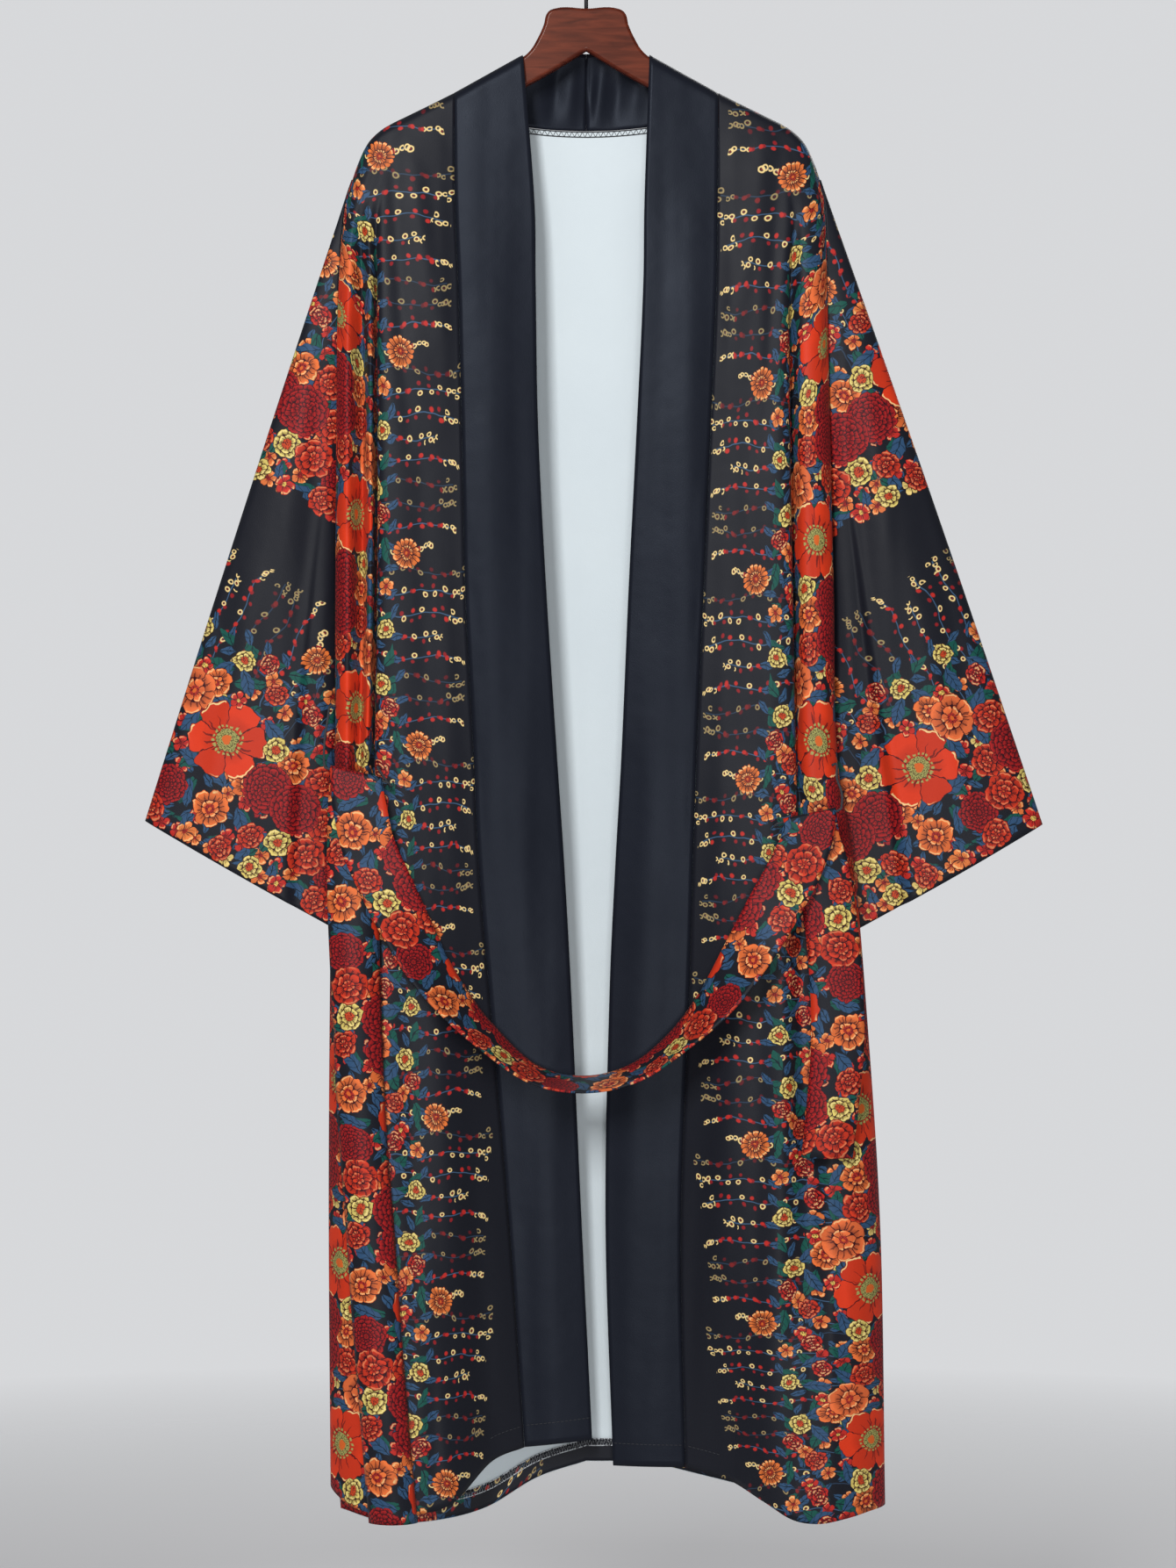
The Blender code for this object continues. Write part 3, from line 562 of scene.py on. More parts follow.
fronts = {}
for side in FRONTS:
    rows = [front_row(side, share) for share in LONG_SHARES]

    def place(column, row, side=side, rows=rows):
        point, at = rows[row][column]
        return flipped(side, point), (border_along(side, point.z), border_in(at, point.z))

    fronts[side] = cloth(f"front_{side}_cloth", FRONT_COLUMNS, len(LONG_SHARES) - 1, place,
                         lambda centre: Vector((0, -1, 0)))
    print(f"front_{side}: {len(fronts[side].data.polygons)} faces")

# %% [markdown]
# The neck band is one long folded strip, in two halves that meet at the centre back. Behind the neck it
# is a little too long for the seam that it is sewn to, so it puckers.

# %% The neck band
BAND_COLUMNS = 18
NECK_ROWS = 50
bands = {}
band_shares = [1 - share for share in reversed(LONG_SHARES)]
band_shares += [1 + i / NECK_ROWS for i in range(1, NECK_ROWS + 1)]


def band_point(side, across, share):
    """Return a point of the neck band with its creases, in millimetres."""
    point = band_flat(side, across, share)
    held = math.sin(math.pi * min(1, max(0, across))) ** 0.5
    if share <= 1:
        point.y -= creased("band", point.x, point.z) * held * min(1, (1 - share) * 12)
    else:
        facing = 1 if side == "right" else -1
        point.y -= creased("neck", point.x * facing, point.z) * held * min(1, (share - 1) * 4)
    return point


for side in FRONTS:
    def place(column, row, side=side):
        across, share = column / BAND_COLUMNS, band_shares[row]
        return flipped(side, band_point(side, across, share)), (share * 1000, 400 + 60 * across)

    bands[side] = cloth(f"neck_band_{side}_cloth", BAND_COLUMNS, len(band_shares) - 1, place,
                        lambda centre: Vector((0, -1, 0)) if centre.y < 0 else Vector((0, 1, 0)))

# %% [markdown]
# The back hangs nearly flat, with its hem dipping at both sides. Its printed side faces away from us, so
# from the front we see the pale reverse through the open coat.

# %% The back
BACK_HALF = 64
PLAIN_FROM = 275.0
BACK_FULLNESS = 1.06


def back_inward(side, at, z):
    """Return how far in from its border's edge the back is, measured from the side seam."""
    return min(from_table(BORDER_AT_SIDE, -z) + side_out(side, z) * (1 - at) * BACK_FULLNESS, PLAIN_FROM)


def back_place(column, row):
    """Return a back point and its place in the print, from a column counted from the centre."""
    side = "right" if column >= 0 else "left"
    at = abs(column) / BACK_HALF
    point = back_flat(side, at, LONG_SHARES[row])
    facing = 1 if side == "right" else -1
    held = min(1, (1 - at) * 8) * min(1, LONG_SHARES[row] * 14)
    point.y += creased("back", point.x * facing, point.z) * held
    return flipped(side, point), (border_along(side, point.z), back_inward(side, at, point.z))


back = cloth("back_cloth", 2 * BACK_HALF, len(LONG_SHARES) - 1,
             lambda column, row: back_place(column - BACK_HALF, row), lambda centre: Vector((0, 1, 0)))

# %% [markdown]
# Each sleeve is one piece, folded along its top edge and closed by the seam under the arm. The cuff stays
# open.

# %% The sleeves
SLEEVE_COLUMNS, SLEEVE_ROWS = ((150, 100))
sleeves = {}
for side in SLEEVES:
    def place(column, row, side=side):
        around, along = column / SLEEVE_COLUMNS, row / SLEEVE_ROWS
        point = sleeve_flat(side, around, along)
        printed = sleeve_print(side, point)
        held = max(0, math.sin(2 * math.pi * min(around, 1 - around))) ** 0.7 * min(1, along * 5)
        push = creased("sleeve", point.x, point.z) * held
        point.y += -push if around < 0.5 else push * 0.8
        return flipped(side, point), printed

    sleeves[side] = cloth(f"sleeve_{side}_cloth", SLEEVE_COLUMNS, SLEEVE_ROWS, place,
                          lambda centre: Vector((0, -1 if centre.y < CUFF_CENTRE * MM else 1, 0)))

# %% [markdown]
# The belt is a doubled strip, printed on both faces. It hangs from two thread loops in a deep curve
# across the front, and each end falls straight down.

# %% The belt
BELT_WIDTH = 45.0
BELT_THICKNESS = 1.6
BELT_FOLD_R = 2.4
BELT_CUT_AT = 47.0
BELT_CUT_ALONG = 64.0
BELT_RIPPLE = 0.7
Strap = namedtuple("Strap", "x forward z slant turned curled")
FOLD_LEFT = Strap(-194, 44, -717, -13, 0, 0)
FOLD_RIGHT = Strap(188.5, 44, -752, 192, 0, 0)
TAIL_LEFT = (
    Strap(-162.5, 60, -1346, 0, 0, 28), Strap(-169, 59.5, -1270, 0, 0, 28),
    Strap(-176, 58.5, -1185, 0, 0, 28), Strap(-182, 57, -1099, 0, 0, 28),
    Strap(-189, 55, -1011, 0, 0, 28), Strap(-193, 52, -925, 0, 0, 26), Strap(-196, 47.5, -850, 0, 0, 20),
    Strap(-196.5, 43.5, -790, -2, 0, 10), Strap(-195.5, 41.6, -745, -8, 0, 2),
)
SWAG = (
    Strap(-191.5, 46.6, -740, 4, 0, 0), Strap(-184, 48, -775, 19, 0, 0), Strap(-170, 51, -807, 22, -8, 0),
    Strap(-152, 52, -844, 24, -22, 0), Strap(-133, 51, -879, 27, -38, 0), Strap(-111, 48, -909, 34, -52, 0),
    Strap(-87, 45, -935, 42, -63, 0), Strap(-45, 41, -969, 61, -74, 0), Strap(0, 39, -978, 90, -77, 0),
    Strap(43, 41, -967, 118, -74, 0), Strap(81, 45, -938, 136, -66, 0), Strap(111, 49, -905, 149, -48, 0),
    Strap(138, 52, -863, 154, -26, 0), Strap(159, 51, -826, 153, -8, 0), Strap(176, 48, -795, 160, 0, 0),
    Strap(186, 46.6, -770, 182, 0, 0),
)
TAIL_RIGHT = (
    Strap(191, 41.6, -770, 187, 0, 0), Strap(199, 41, -795, 182, 0, 4), Strap(207, 41.5, -845, 180, 0, 8),
    Strap(211.5, 42.5, -900, 180, 0, 8), Strap(212, 44, -945, 180, 0, 8), Strap(208, 46, -995, 180, 0, 14),
    Strap(203, 47, -1040, 180, 0, 18),
)


def strap_fold(fold, front_to_back, steps=10):
    """Return the belt's rows over a thread loop, as half a turn about the thread."""
    centre = Vector((fold.x, -fold.forward, fold.z))
    slant = math.radians(fold.slant)
    wide = Vector((math.cos(slant), 0, math.sin(slant)))
    up = Vector((-wide.z, 0, wide.x))
    if up.z < 0:
        up = -up
    rows = []
    for i in range(steps + 1):
        turn = math.pi * i / steps
        if front_to_back:
            turn = math.pi - turn
        way = Vector((0, 1, 0)) * math.cos(turn) + up * math.sin(turn)
        rows.append((centre + way * BELT_FOLD_R, wide, 0))
    return rows


def strap_stretch(rows, steps):
    """Return evenly spaced rows of the belt along a list of its stations."""
    made = []
    for i in range(steps + 1):
        x, forward, z, slant, turned, curled = through_evenly([Stations(row) for row in rows], i / steps)
        slant, turned = math.radians(slant), math.radians(turned)
        flat = Vector((math.cos(slant), 0, math.sin(slant)))
        wide = flat * math.cos(turned) + Vector((0, -1, 0)) * math.sin(turned)
        made.append((Vector((x, -forward, z)), wide, math.radians(curled)))
    return made


BELT_COLUMNS = 12
belt_rows = (strap_stretch(TAIL_LEFT, 80) + strap_fold(FOLD_LEFT, False) + strap_stretch(SWAG, 130)
             + strap_fold(FOLD_RIGHT, True) + strap_stretch(TAIL_RIGHT, 44))
belt_walked = [0]
for before, after in zip(belt_rows, belt_rows[1:]):
    belt_walked.append(belt_walked[-1] + (after[0] - before[0]).length)


def belt_place(column, row):
    """Return a belt point and its place in the print: a strip cut from the border's full part."""
    middle, wide, curled = belt_rows[row]
    across = 2 * column / BELT_COLUMNS - 1
    backward = Vector((0, 1, 0)) * math.sin(curled) * across * across
    point = middle + (wide * math.cos(curled * abs(across)) * across + backward) * BELT_WIDTH / 2
    ripple = BELT_RIPPLE * math.sin(row * 0.21) * math.sin(row * 0.083 + across)
    point.y -= ripple * (1 - across * across)
    return point * MM, (belt_walked[row] + BELT_CUT_ALONG, BELT_CUT_AT + across * BELT_WIDTH / 2)


belt = cloth("belt_cloth", BELT_COLUMNS, len(belt_rows) - 1, belt_place, lambda centre: Vector((0, -1, 0)),
             BELT_THICKNESS)
print(f"belt: {belt_walked[-1]:.0f} mm long")


# %% [markdown]
# Round things, such as the hanger's wire and the threads, are curves with a round bevel. A curve keeps
# its roundness along any path. It is turned into a mesh once it is in place.

# %% Threads and wires
THREAD_MERGE = 0.001


def meshed(name, path, merge, turned=0):
    """Return a curve as a closed mesh, turned about X by an angle in degrees."""
    drawn = placed(name, path)
    bpy.context.view_layer.update()
    mesh = bpy.data.meshes.new_from_object(drawn.evaluated_get(bpy.context.evaluated_depsgraph_get()))
    bpy.data.objects.remove(drawn)
    form = bmesh.new()
    form.from_mesh(mesh)
    if turned:
        matrix = Matrix.Rotation(math.radians(turned), 3, "X")
        bmesh.ops.rotate(form, verts=form.verts, cent=(0, 0, 0), matrix=matrix)
    bmesh.ops.remove_doubles(form, verts=form.verts, dist=merge * MM)
    bmesh.ops.recalc_face_normals(form, faces=form.faces)
    form.to_mesh(mesh)
    form.free()
    mesh.name = name
    return mesh


def tube(name, lines, radius, sides=3):
    """Return one mesh of round threads or wires, each along its own points, with closed ends."""
    path = bpy.data.curves.new(name, "CURVE")
    path.dimensions = "3D"
    path.bevel_depth = radius * MM
    path.bevel_resolution = sides
    path.use_fill_caps = True
    for points in lines:
        line = path.splines.new("POLY")
        line.points.add(len(points) - 1)
        for knot, point in zip(line.points, points):
            knot.co = (*(Vector(point) * MM), 1)
    mesh = meshed(name, path, THREAD_MERGE)
    mesh.shade_smooth()
    return placed(name, mesh)


# %% The thread loops
Loop = namedtuple("Loop", "start route end")
LOOPS = {
    "left": Loop((0.86, 0.412),
                 ((-219, 25, -668), (-221, 32, -684), (-221.5, 38, -700), (-220.5, 43, -709),
                  (-217, 44, -711.7), (-194, 44, -717), (-171, 44, -722.3), (-166.5, 42.5, -723.8),
                  (-165.5, 38.5, -726)),
                 (0.25, 0.475)),
    "right": Loop((0.76, 0.456),
                  ((212, 34, -720), (215.5, 39, -731), (215.5, 42.5, -741), (212, 44, -747),
                   (188.5, 44, -752), (165, 44, -757), (160.5, 42.5, -758.5), (159.5, 39, -761)),
                  (0.25, 0.516)),
}
LOOP_THREAD_R = 1.0
THREAD_END = (1.4, 6.4)


def thread_end(side, across, share, step=0.01):
    """Return two points straight out from a front's outer face: where a thread ends, and further out."""
    at, beside, below = [flipped(side, front_flat(side, a, s)) / MM
                         for a, s in ((across, share), (across + step, share), (across, share + step))]
    out = (beside - at).cross(below - at).normalized()
    if out.y > 0:
        out = -out
    return [at + out * height for height in THREAD_END]


thread_loops = {}
for side, loop in LOOPS.items():
    line = [*thread_end(side, *loop.start), *[Vector((x, -forward, z)) for x, forward, z in loop.route],
            *reversed(thread_end(side, *loop.end))]
    steps = 6 * (len(line) - 1)
    curve = [through_evenly(line, i / steps) for i in range(steps + 1)]
    thread_loops[side] = tube(f"thread_loop_{side}", [curve], LOOP_THREAD_R)

# %% [markdown]
# The hanger's hook is black wire, and its body is cut from one board with rounded edges. The outline is a
# flat curve with a bevel, which rounds the whole edge at once.

# %% The hanger
HOOK_WIRE_R = 1.7
HOOK_INNER_R = 18.0
HOOK_FROM = -54
HOOK_TURN = 250
HOOK_STEPS = 60
WOOD_TOP_Z = -62.0
WOOD_DEPTH = 11.0
WOOD_EDGE_R = 3.0
WOOD_BELOW_CLOTH = 2.1
BOARD_MERGE = 0.01
FLAT_FACE = 0.999
WOOD_BLOCK = ((0, -62.5), (27, -62.5), (33, -66), (36.5, -77), (41.5, -88), (48, -98.5))
WOOD_ARM_X = (56, 64, 80, 97, 115, 135, 152, 162)
WOOD_ARM_UNDER = ((169.5, -173), (170.5, -180), (162, -184), (110, -160), (60, -133.5), (30, -117),
                  (0, -98.5))

wire = [(0, 0, WOOD_TOP_Z - 11), (0, 0, -52), (0.4, 0, -48.5), (1.6, 0, -45), (3.4, 0, -42), (5.6, 0, -39.6)]
for i in range(HOOK_STEPS + 1):
    angle = math.radians(HOOK_FROM + HOOK_TURN * i / HOOK_STEPS)
    radius = HOOK_INNER_R + HOOK_WIRE_R
    wire.append((radius * math.cos(angle), 0, -HOOK_INNER_R + radius * math.sin(angle)))
hook = tube("hanger_wire", [wire], HOOK_WIRE_R, sides=6)

outline = bpy.data.curves.new("hanger outline", "CURVE")
outline.dimensions = "2D"
outline.fill_mode = "BOTH"
outline.extrude = (WOOD_DEPTH / 2 - WOOD_EDGE_R) * MM
outline.bevel_depth = WOOD_EDGE_R * MM
outline.bevel_resolution = 5
outline.offset = -WOOD_EDGE_R * MM
outline.resolution_u = 8
right_half = [*WOOD_BLOCK, *[(x, shoulder_z(x) - WOOD_BELOW_CLOTH) for x in WOOD_ARM_X], *WOOD_ARM_UNDER]
knots = [*right_half, *[(-x, z) for x, z in reversed(right_half[1:-1])]]
line = outline.splines.new("BEZIER")
line.bezier_points.add(len(knots) - 1)
for knot, (x, z) in zip(line.bezier_points, knots):
    knot.co = (x * MM, z * MM, 0)
    knot.handle_left_type = knot.handle_right_type = "VECTOR" if x == 0 else "AUTO"
line.use_cyclic_u = True
board = meshed("hanger_board", outline, BOARD_MERGE, turned=90)
for face in board.polygons:
    face.use_smooth = abs(face.normal.y) < FLAT_FACE
wood = placed("hanger_board", board)
print("hanger board:", len(board.polygons), "faces")

# %% [markdown]
# A raw edge is closed with overlock stitches, a thread that zigzags over the edge. They show at the back
# of the neck and along the back hem, where the dark cloth is turned up over the pale reverse.

# %% The back hem's turn-up
TURN_UP = 20.0
TURN_UP_ROWS = 6
TURN_UP_LIFT = 1.15
TURN_UP_WALL = 0.5
BACK_LENGTH = 1190


def turned_up(column, up, lift):
    """Return a point just inside the back, some way up from its hem, with its place in the print."""
    at = abs(column) / BACK_HALF
    side = "right" if column >= 0 else "left"
    share = 1 - TURN_UP / BACK_LENGTH * up
    point = back_flat(side, min(at, 0.985), share)
    facing = 1 if side == "right" else -1
    point.y += creased("back", point.x * facing, point.z) * min(1, (1 - at) * 8)
    point.y -= lift
    along = border_along(side, point.z) + 2 * TURN_UP * up
    return flipped(side, point), (along, back_inward(side, at, point.z))


def turn_up_place(column, row):
    """Return a point of the turn-up, which starts just above the hem's edge."""
    return turned_up(column - BACK_HALF, 0.03 + 0.97 * row / TURN_UP_ROWS, TURN_UP_LIFT)


turn_up = cloth("back_hem_turn_up", 2 * BACK_HALF, TURN_UP_ROWS, turn_up_place,
                lambda centre: Vector((0, -1, 0)), TURN_UP_WALL)

# %% The overlock stitches
STITCH_PITCH = 2.3
STITCH_R = 0.45
HEM_OVERLOCK_LENGTH = 430
HEM_OVERLOCK_LIFT = 1.75
NECK_OVERLOCK_LENGTH = 150
NECK_OVERLOCK_HEIGHT = 4.4
NECK_OVERLOCK_LIFT = 0.95
NECK_OVERLOCK_REACH = 0.78


def overlock(name, count, edge):
    """Return zigzag stitches along an edge; the rule gives a point from (share along, height in the row)."""
    zigzag = [edge((i + 0.5) / count, 1.0 if i % 2 else 0.0) for i in range(count)]
    lower = [edge(i / count, 0.0) for i in range(count + 1)]
    upper = [edge(i / count, 1.0) for i in range(count + 1)]
    return tube(name, [zigzag, lower, upper], STITCH_R, sides=0)


def hem_edge(along, height):
    """Return a point of the hem's overlock, in millimetres."""
    column = (along * 1.94 - 0.97) * BACK_HALF
    point, _ = turned_up(column, 0.72 + 0.30 * height, HEM_OVERLOCK_LIFT)
    return point / MM


def neck_edge(along, height):
    """Return a point of the overlock under the neck seam, on the pale reverse of the back."""
    turn = 1 - abs(2 * along - 1) * NECK_OVERLOCK_REACH
    side = "right" if along >= 0.5 else "left"
    at = (1 - turn) * NECK_SHARE
    point = back_flat(side, at, 0.0)
    low = back_flat(side, at, 0.004)
    way = (low - point).normalized()
    point += way * (NECK_OVERLOCK_HEIGHT * (1 - height) + 0.2)
    point.y -= NECK_OVERLOCK_LIFT
    return flipped(side, point) / MM


hem_stitches = overlock("back_hem_overlock", round(HEM_OVERLOCK_LENGTH / STITCH_PITCH) * 2, hem_edge)
neck_stitches = overlock("neck_overlock", round(NECK_OVERLOCK_LENGTH / STITCH_PITCH) * 2, neck_edge)

# %% [markdown]
# The hems of the band and the fronts are sewn with a straight row of short stitches. On the printed part
# the row can't be seen, so it stops where the print begins.

# %% The straight hem stitches
HEM_ROW_UP = 19.0 / 1180
HEM_STITCH = 2.6
HEM_STITCH_SPACE = 1.1
HEM_STITCH_R = 0.32
HEM_LIFT = 0.72
PLAIN_SHARE = (0.01, 0.16)


def dashes(line):
    """Return short stitches, each of three points, along a line of points in millimetres."""
    stitches, marks = [], []
    walked = start = 0
    for before, after in zip(line, line[1:]):
        length = (after - before).length
        while start <= walked + length:
            marks.append(before.lerp(after, (start - walked) / length))
            start += HEM_STITCH if len(marks) % 2 else HEM_STITCH_SPACE
        walked += length
    for first, last in zip(marks[::2], marks[1::2]):
        raised = first.lerp(last, 0.5) + Vector((0, -HEM_STITCH_R / 2, 0))
        stitches.append([first, raised, last])
    return stitches


hem_rows = {}
for side in FRONTS:
    band_line = [band_point(side, i / 40, HEM_ROW_UP) for i in range(1, 40)]
    front_line = [point for point, at in front_row(side, 1 - HEM_ROW_UP)
                  if PLAIN_SHARE[0] < at < PLAIN_SHARE[1]]
    lifted = [[flipped(side, point) / MM + Vector((0, -HEM_LIFT, 0)) for point in line]
              for line in (band_line, front_line)]
    hem_rows[side] = tube(f"hem_stitches_{side}", [stitch for line in lifted for stitch in dashes(line)],
                          HEM_STITCH_R, sides=1)


# %% [markdown]
# Materials are node trees. Node trees are easier to read when the maths in them is written as maths, so
# the small class below wraps one socket: adding two wrapped sockets adds a Math node. Any other node
# comes from one method, which takes its type, its settings and what goes into its sockets.

# %% Shader maths as Python
class Wire:
    """One output socket of a material, so that shader maths reads like ordinary Python."""

    def __init__(self, tree, socket):
        self.tree, self.socket = tree, socket

    def math(self, operation, *others, clamp=False):
        settings = {"operation": operation, "use_clamp": clamp}
        return self.tree.add("ShaderNodeMath", settings, dict(enumerate((self, *others))))

    def __add__(self, other): return self.math("ADD", other)
    def __sub__(self, other): return self.math("SUBTRACT", other)
    def __mul__(self, other): return self.math("MULTIPLY", other)
    def __truediv__(self, other): return self.math("DIVIDE", other)
    def __pow__(self, other): return self.math("POWER", other)
    def __lt__(self, other): return self.math("LESS_THAN", other)
    def __gt__(self, other): return self.math("GREATER_THAN", other)
    def __abs__(self): return self.math("ABSOLUTE")
    def __radd__(self, other): return self.math("ADD", other)
    def __rmul__(self, other): return self.math("MULTIPLY", other)
    def __rsub__(self, other): return (self * -1).math("ADD", other)
    def clamp(self): return self.math("ADD", 0.0, clamp=True)
    def most(self, other): return self.math("MAXIMUM", other)

    def other(self, name):
        """Return another output of the same node."""
        return Wire(self.tree, self.socket.node.outputs[name])


class Finish:
    """A material's node tree, with one method that adds any node."""

    def __init__(self, name):
        self.material = bpy.data.materials.new(name)
        self.material.use_nodes = True
        self.nodes, self.links = self.material.node_tree.nodes, self.material.node_tree.links
        self.shader = self.nodes["Principled BSDF"]

    def add(self, kind, settings=None, values=None, out=0):
        node = self.nodes.new(kind)
        for name, value in (settings or {}).items():
            if name == "stops":
                stops = node.color_ramp.elements
                while len(stops) < len(value):
                    stops.new(1.0)
                for stop, (position, colour) in zip(stops, value):
                    stop.position = position
                for stop, (position, colour) in zip(stops, value):
                    stop.color = colour
            elif name == "interpolation" and kind == "ShaderNodeValToRGB":
                node.color_ramp.interpolation = value
            else:
                setattr(node, name, value)
        for name, value in (values or {}).items():
            self.plug(node.inputs[name], value)
        return Wire(self, node.outputs[out])

    def plug(self, socket, value):
        if isinstance(value, Wire):
            self.links.new(value.socket, socket)
        else:
            socket.default_value = value

    def paint(self, under, over, mask):
        """Return the colour under with the colour over laid on where the mask is 1."""
        return self.add("ShaderNodeMix", {"data_type": "RGBA"}, {0: mask, 6: under, 7: over}, out=2)

    def set(self, **values):
        """Set the Principled shader's own sockets, by name."""
        for name, value in values.items():
            self.plug(self.shader.inputs[name.replace("_", " ")], value)

    def noise(self, scale, detail, **more):
        """Return noise that keeps still on the piece, at this scale to a metre."""
        place = self.add("ShaderNodeTexCoord", out="Object")
        return self.add("ShaderNodeTexNoise", {}, {"Vector": place, "Scale": scale, "Detail": detail, **more})

    def bump(self, height, distance, strength=1.0):
        self.set(Normal=self.add("ShaderNodeBump", {}, {"Height": height, "Distance": distance,
                                                        "Strength": strength}))


# %% [markdown]
# Every flower of the print is drawn by one rule. A flower is made of tiers of petals, and each tier is
# turned by half a petal from the last. A poppy has one tier of six wide petals, a rose has a few tiers,
# and a dahlia has many tiers of narrow ones. The rule works out how far a point is from the nearest
# petal's edge, and draws the dark outline there.

# %% One rule for every flower
def distance(x, y):
    """Return the shader maths for a distance from the origin."""
    return (x * x + y * y) ** 0.5


OUTLINE = (0.035, 0.004, 0.008, 1)
CREAM = (0.90, 0.72, 0.32, 1)
HEART_CORE = (0.62, 0.12, 0.02, 1)
PETAL_BEHIND = 0.22
PETAL_RIPPLE = 0.022
CORE_FROM_RADIUS = 12
STAMENS_FROM_RADIUS = 25


def flower(tree, x, y, radius, petals, tiers, colour, heart_colour, heart, rim=0.7, notch=0.42):
    """Return (mask, colour) of a flower at the origin of x and y, which are in millimetres."""
    reach = distance(x, y) / radius
    angle = y.math("ARCTAN2", x)
    rung = reach * tiers
    tier = rung.math("CEIL")
    wave = angle * petals * 0.5 + tier * (math.pi / 2) + 0.4
    lobe = abs(wave.math("COSINE"))
    within = rung - tier + 1
    ripple = (angle * petals * 3.0 + tier * 2.0).math("COSINE") * PETAL_RIPPLE
    edge = 1 - (1 - lobe) ** 2.0 * notch - ripple
    beyond = (within - edge) * radius / tiers
    last = tier > tiers - 0.5
    mask = (reach < 1) * (1 - last * (beyond * 4).clamp())
    line = (beyond * 2.2 + 1.6).clamp()
    split = (1.4 - lobe * reach * radius / petals * 5.0).clamp() * (reach > 0.12)
    stroke = (angle * 13.0).math("COSINE") * 0.14 + (angle * 29.0).math("SINE") * 0.10 + 0.46
    vein = ((angle * petals * 2.5).math("COSINE") > 0.60) * (within < stroke) * 0.7
    lit = ((angle * 2.0 + 1.1).math("COSINE") * 1.4 + 0.7).clamp()
    glow = (1.2 - abs(beyond + 1.5) * 1.4).clamp() * (lobe > 0.45) * rim * lit
    behind = (wave.math("COSINE") < 0) * PETAL_BEHIND
    petal = tree.paint(colour, OUTLINE, behind.most((0.62 - within * 0.9).clamp()))
    petal = tree.paint(petal, CREAM, glow)
    petal = tree.paint(petal, OUTLINE, line.most(split).most(vein))
    place = tree.add("ShaderNodeCombineXYZ", {}, {0: x, 1: y})
    speck = tree.add("ShaderNodeTexNoise", {"noise_dimensions": "2D"},
                     {"Vector": place, "Scale": 0.9, "Detail": 1.0})
    stamens = tree.paint(heart_colour, OUTLINE, (speck > 0.53) * 0.8)
    core = ((heart * 0.42 - reach) * radius * 2).clamp() * (radius > CORE_FROM_RADIUS)
    stamens = tree.paint(stamens, HEART_CORE, core)
    within_heart = ((heart - reach) * radius * 2).clamp()
    ringed = (1.6 - abs(reach - heart * 1.22) * radius * 1.1).clamp() * ((angle * 19.0).math("COSINE") > -0.2)
    petal = tree.paint(petal, heart_colour, ringed * (radius > STAMENS_FROM_RADIUS))
    return mask, tree.paint(petal, stamens, within_heart)


# %% [markdown]
# The border's repeat is charted as a textile designer would chart it on squared paper. Each line of the
# chart gives a strip of the border, and the one flower in it: what kind, how far along the repeat, how far
# in from the edge, and its radius. Several charts overlap, the later over the earlier ones, so that the
# full part of the border has no gaps.

# %% The flowers and the chart of the border
Kind = namedtuple("Kind", "petals tiers colour heart_colour heart")
RIMS = {"dahlia": 0.0, "peony": 0.25, "poppy": 0.9}
NOTCHES = {"poppy": 0.20, "orange_poppy": 0.28, "orange": 0.34}
POPPY_RED = (0.66, 0.040, 0.010)
ORANGE = (0.80, 0.17, 0.040)
KINDS = {
    "poppy": Kind(6, 1, POPPY_RED, (0.34, 0.33, 0.10), 0.30),
    "orange_poppy": Kind(6, 2, (0.80, 0.16, 0.045), (0.40, 0.03, 0.02), 0.22),
    "dahlia": Kind(13, 6, (0.40, 0.014, 0.014), (0.10, 0.004, 0.008), 0.06),
    "peony": Kind(7, 3, (0.62, 0.040, 0.014), (0.30, 0.01, 0.01), 0.12),
    "orange": Kind(7, 2, ORANGE, (0.34, 0.02, 0.015), 0.28),
    "yellow_rose": Kind(6, 3, (0.80, 0.64, 0.17), (0.55, 0.06, 0.015), 0.34),
    "red_rose": Kind(5, 3, (0.56, 0.024, 0.016), (0.16, 0.005, 0.008), 0.16),
    "chrysanthemum": Kind(16, 2, (0.80, 0.19, 0.04), (0.30, 0.02, 0.012), 0.26),
    "small_red": Kind(5, 1, (0.60, 0.03, 0.02), (0.80, 0.55, 0.12), 0.26),
    "small_orange": Kind(5, 1, (0.82, 0.22, 0.055), (0.34, 0.02, 0.012), 0.28),
    "bare": Kind(5, 1, (0, 0, 0), (0, 0, 0), 0.0),
}
Strip = namedtuple("Strip", "low kind along inward radius")
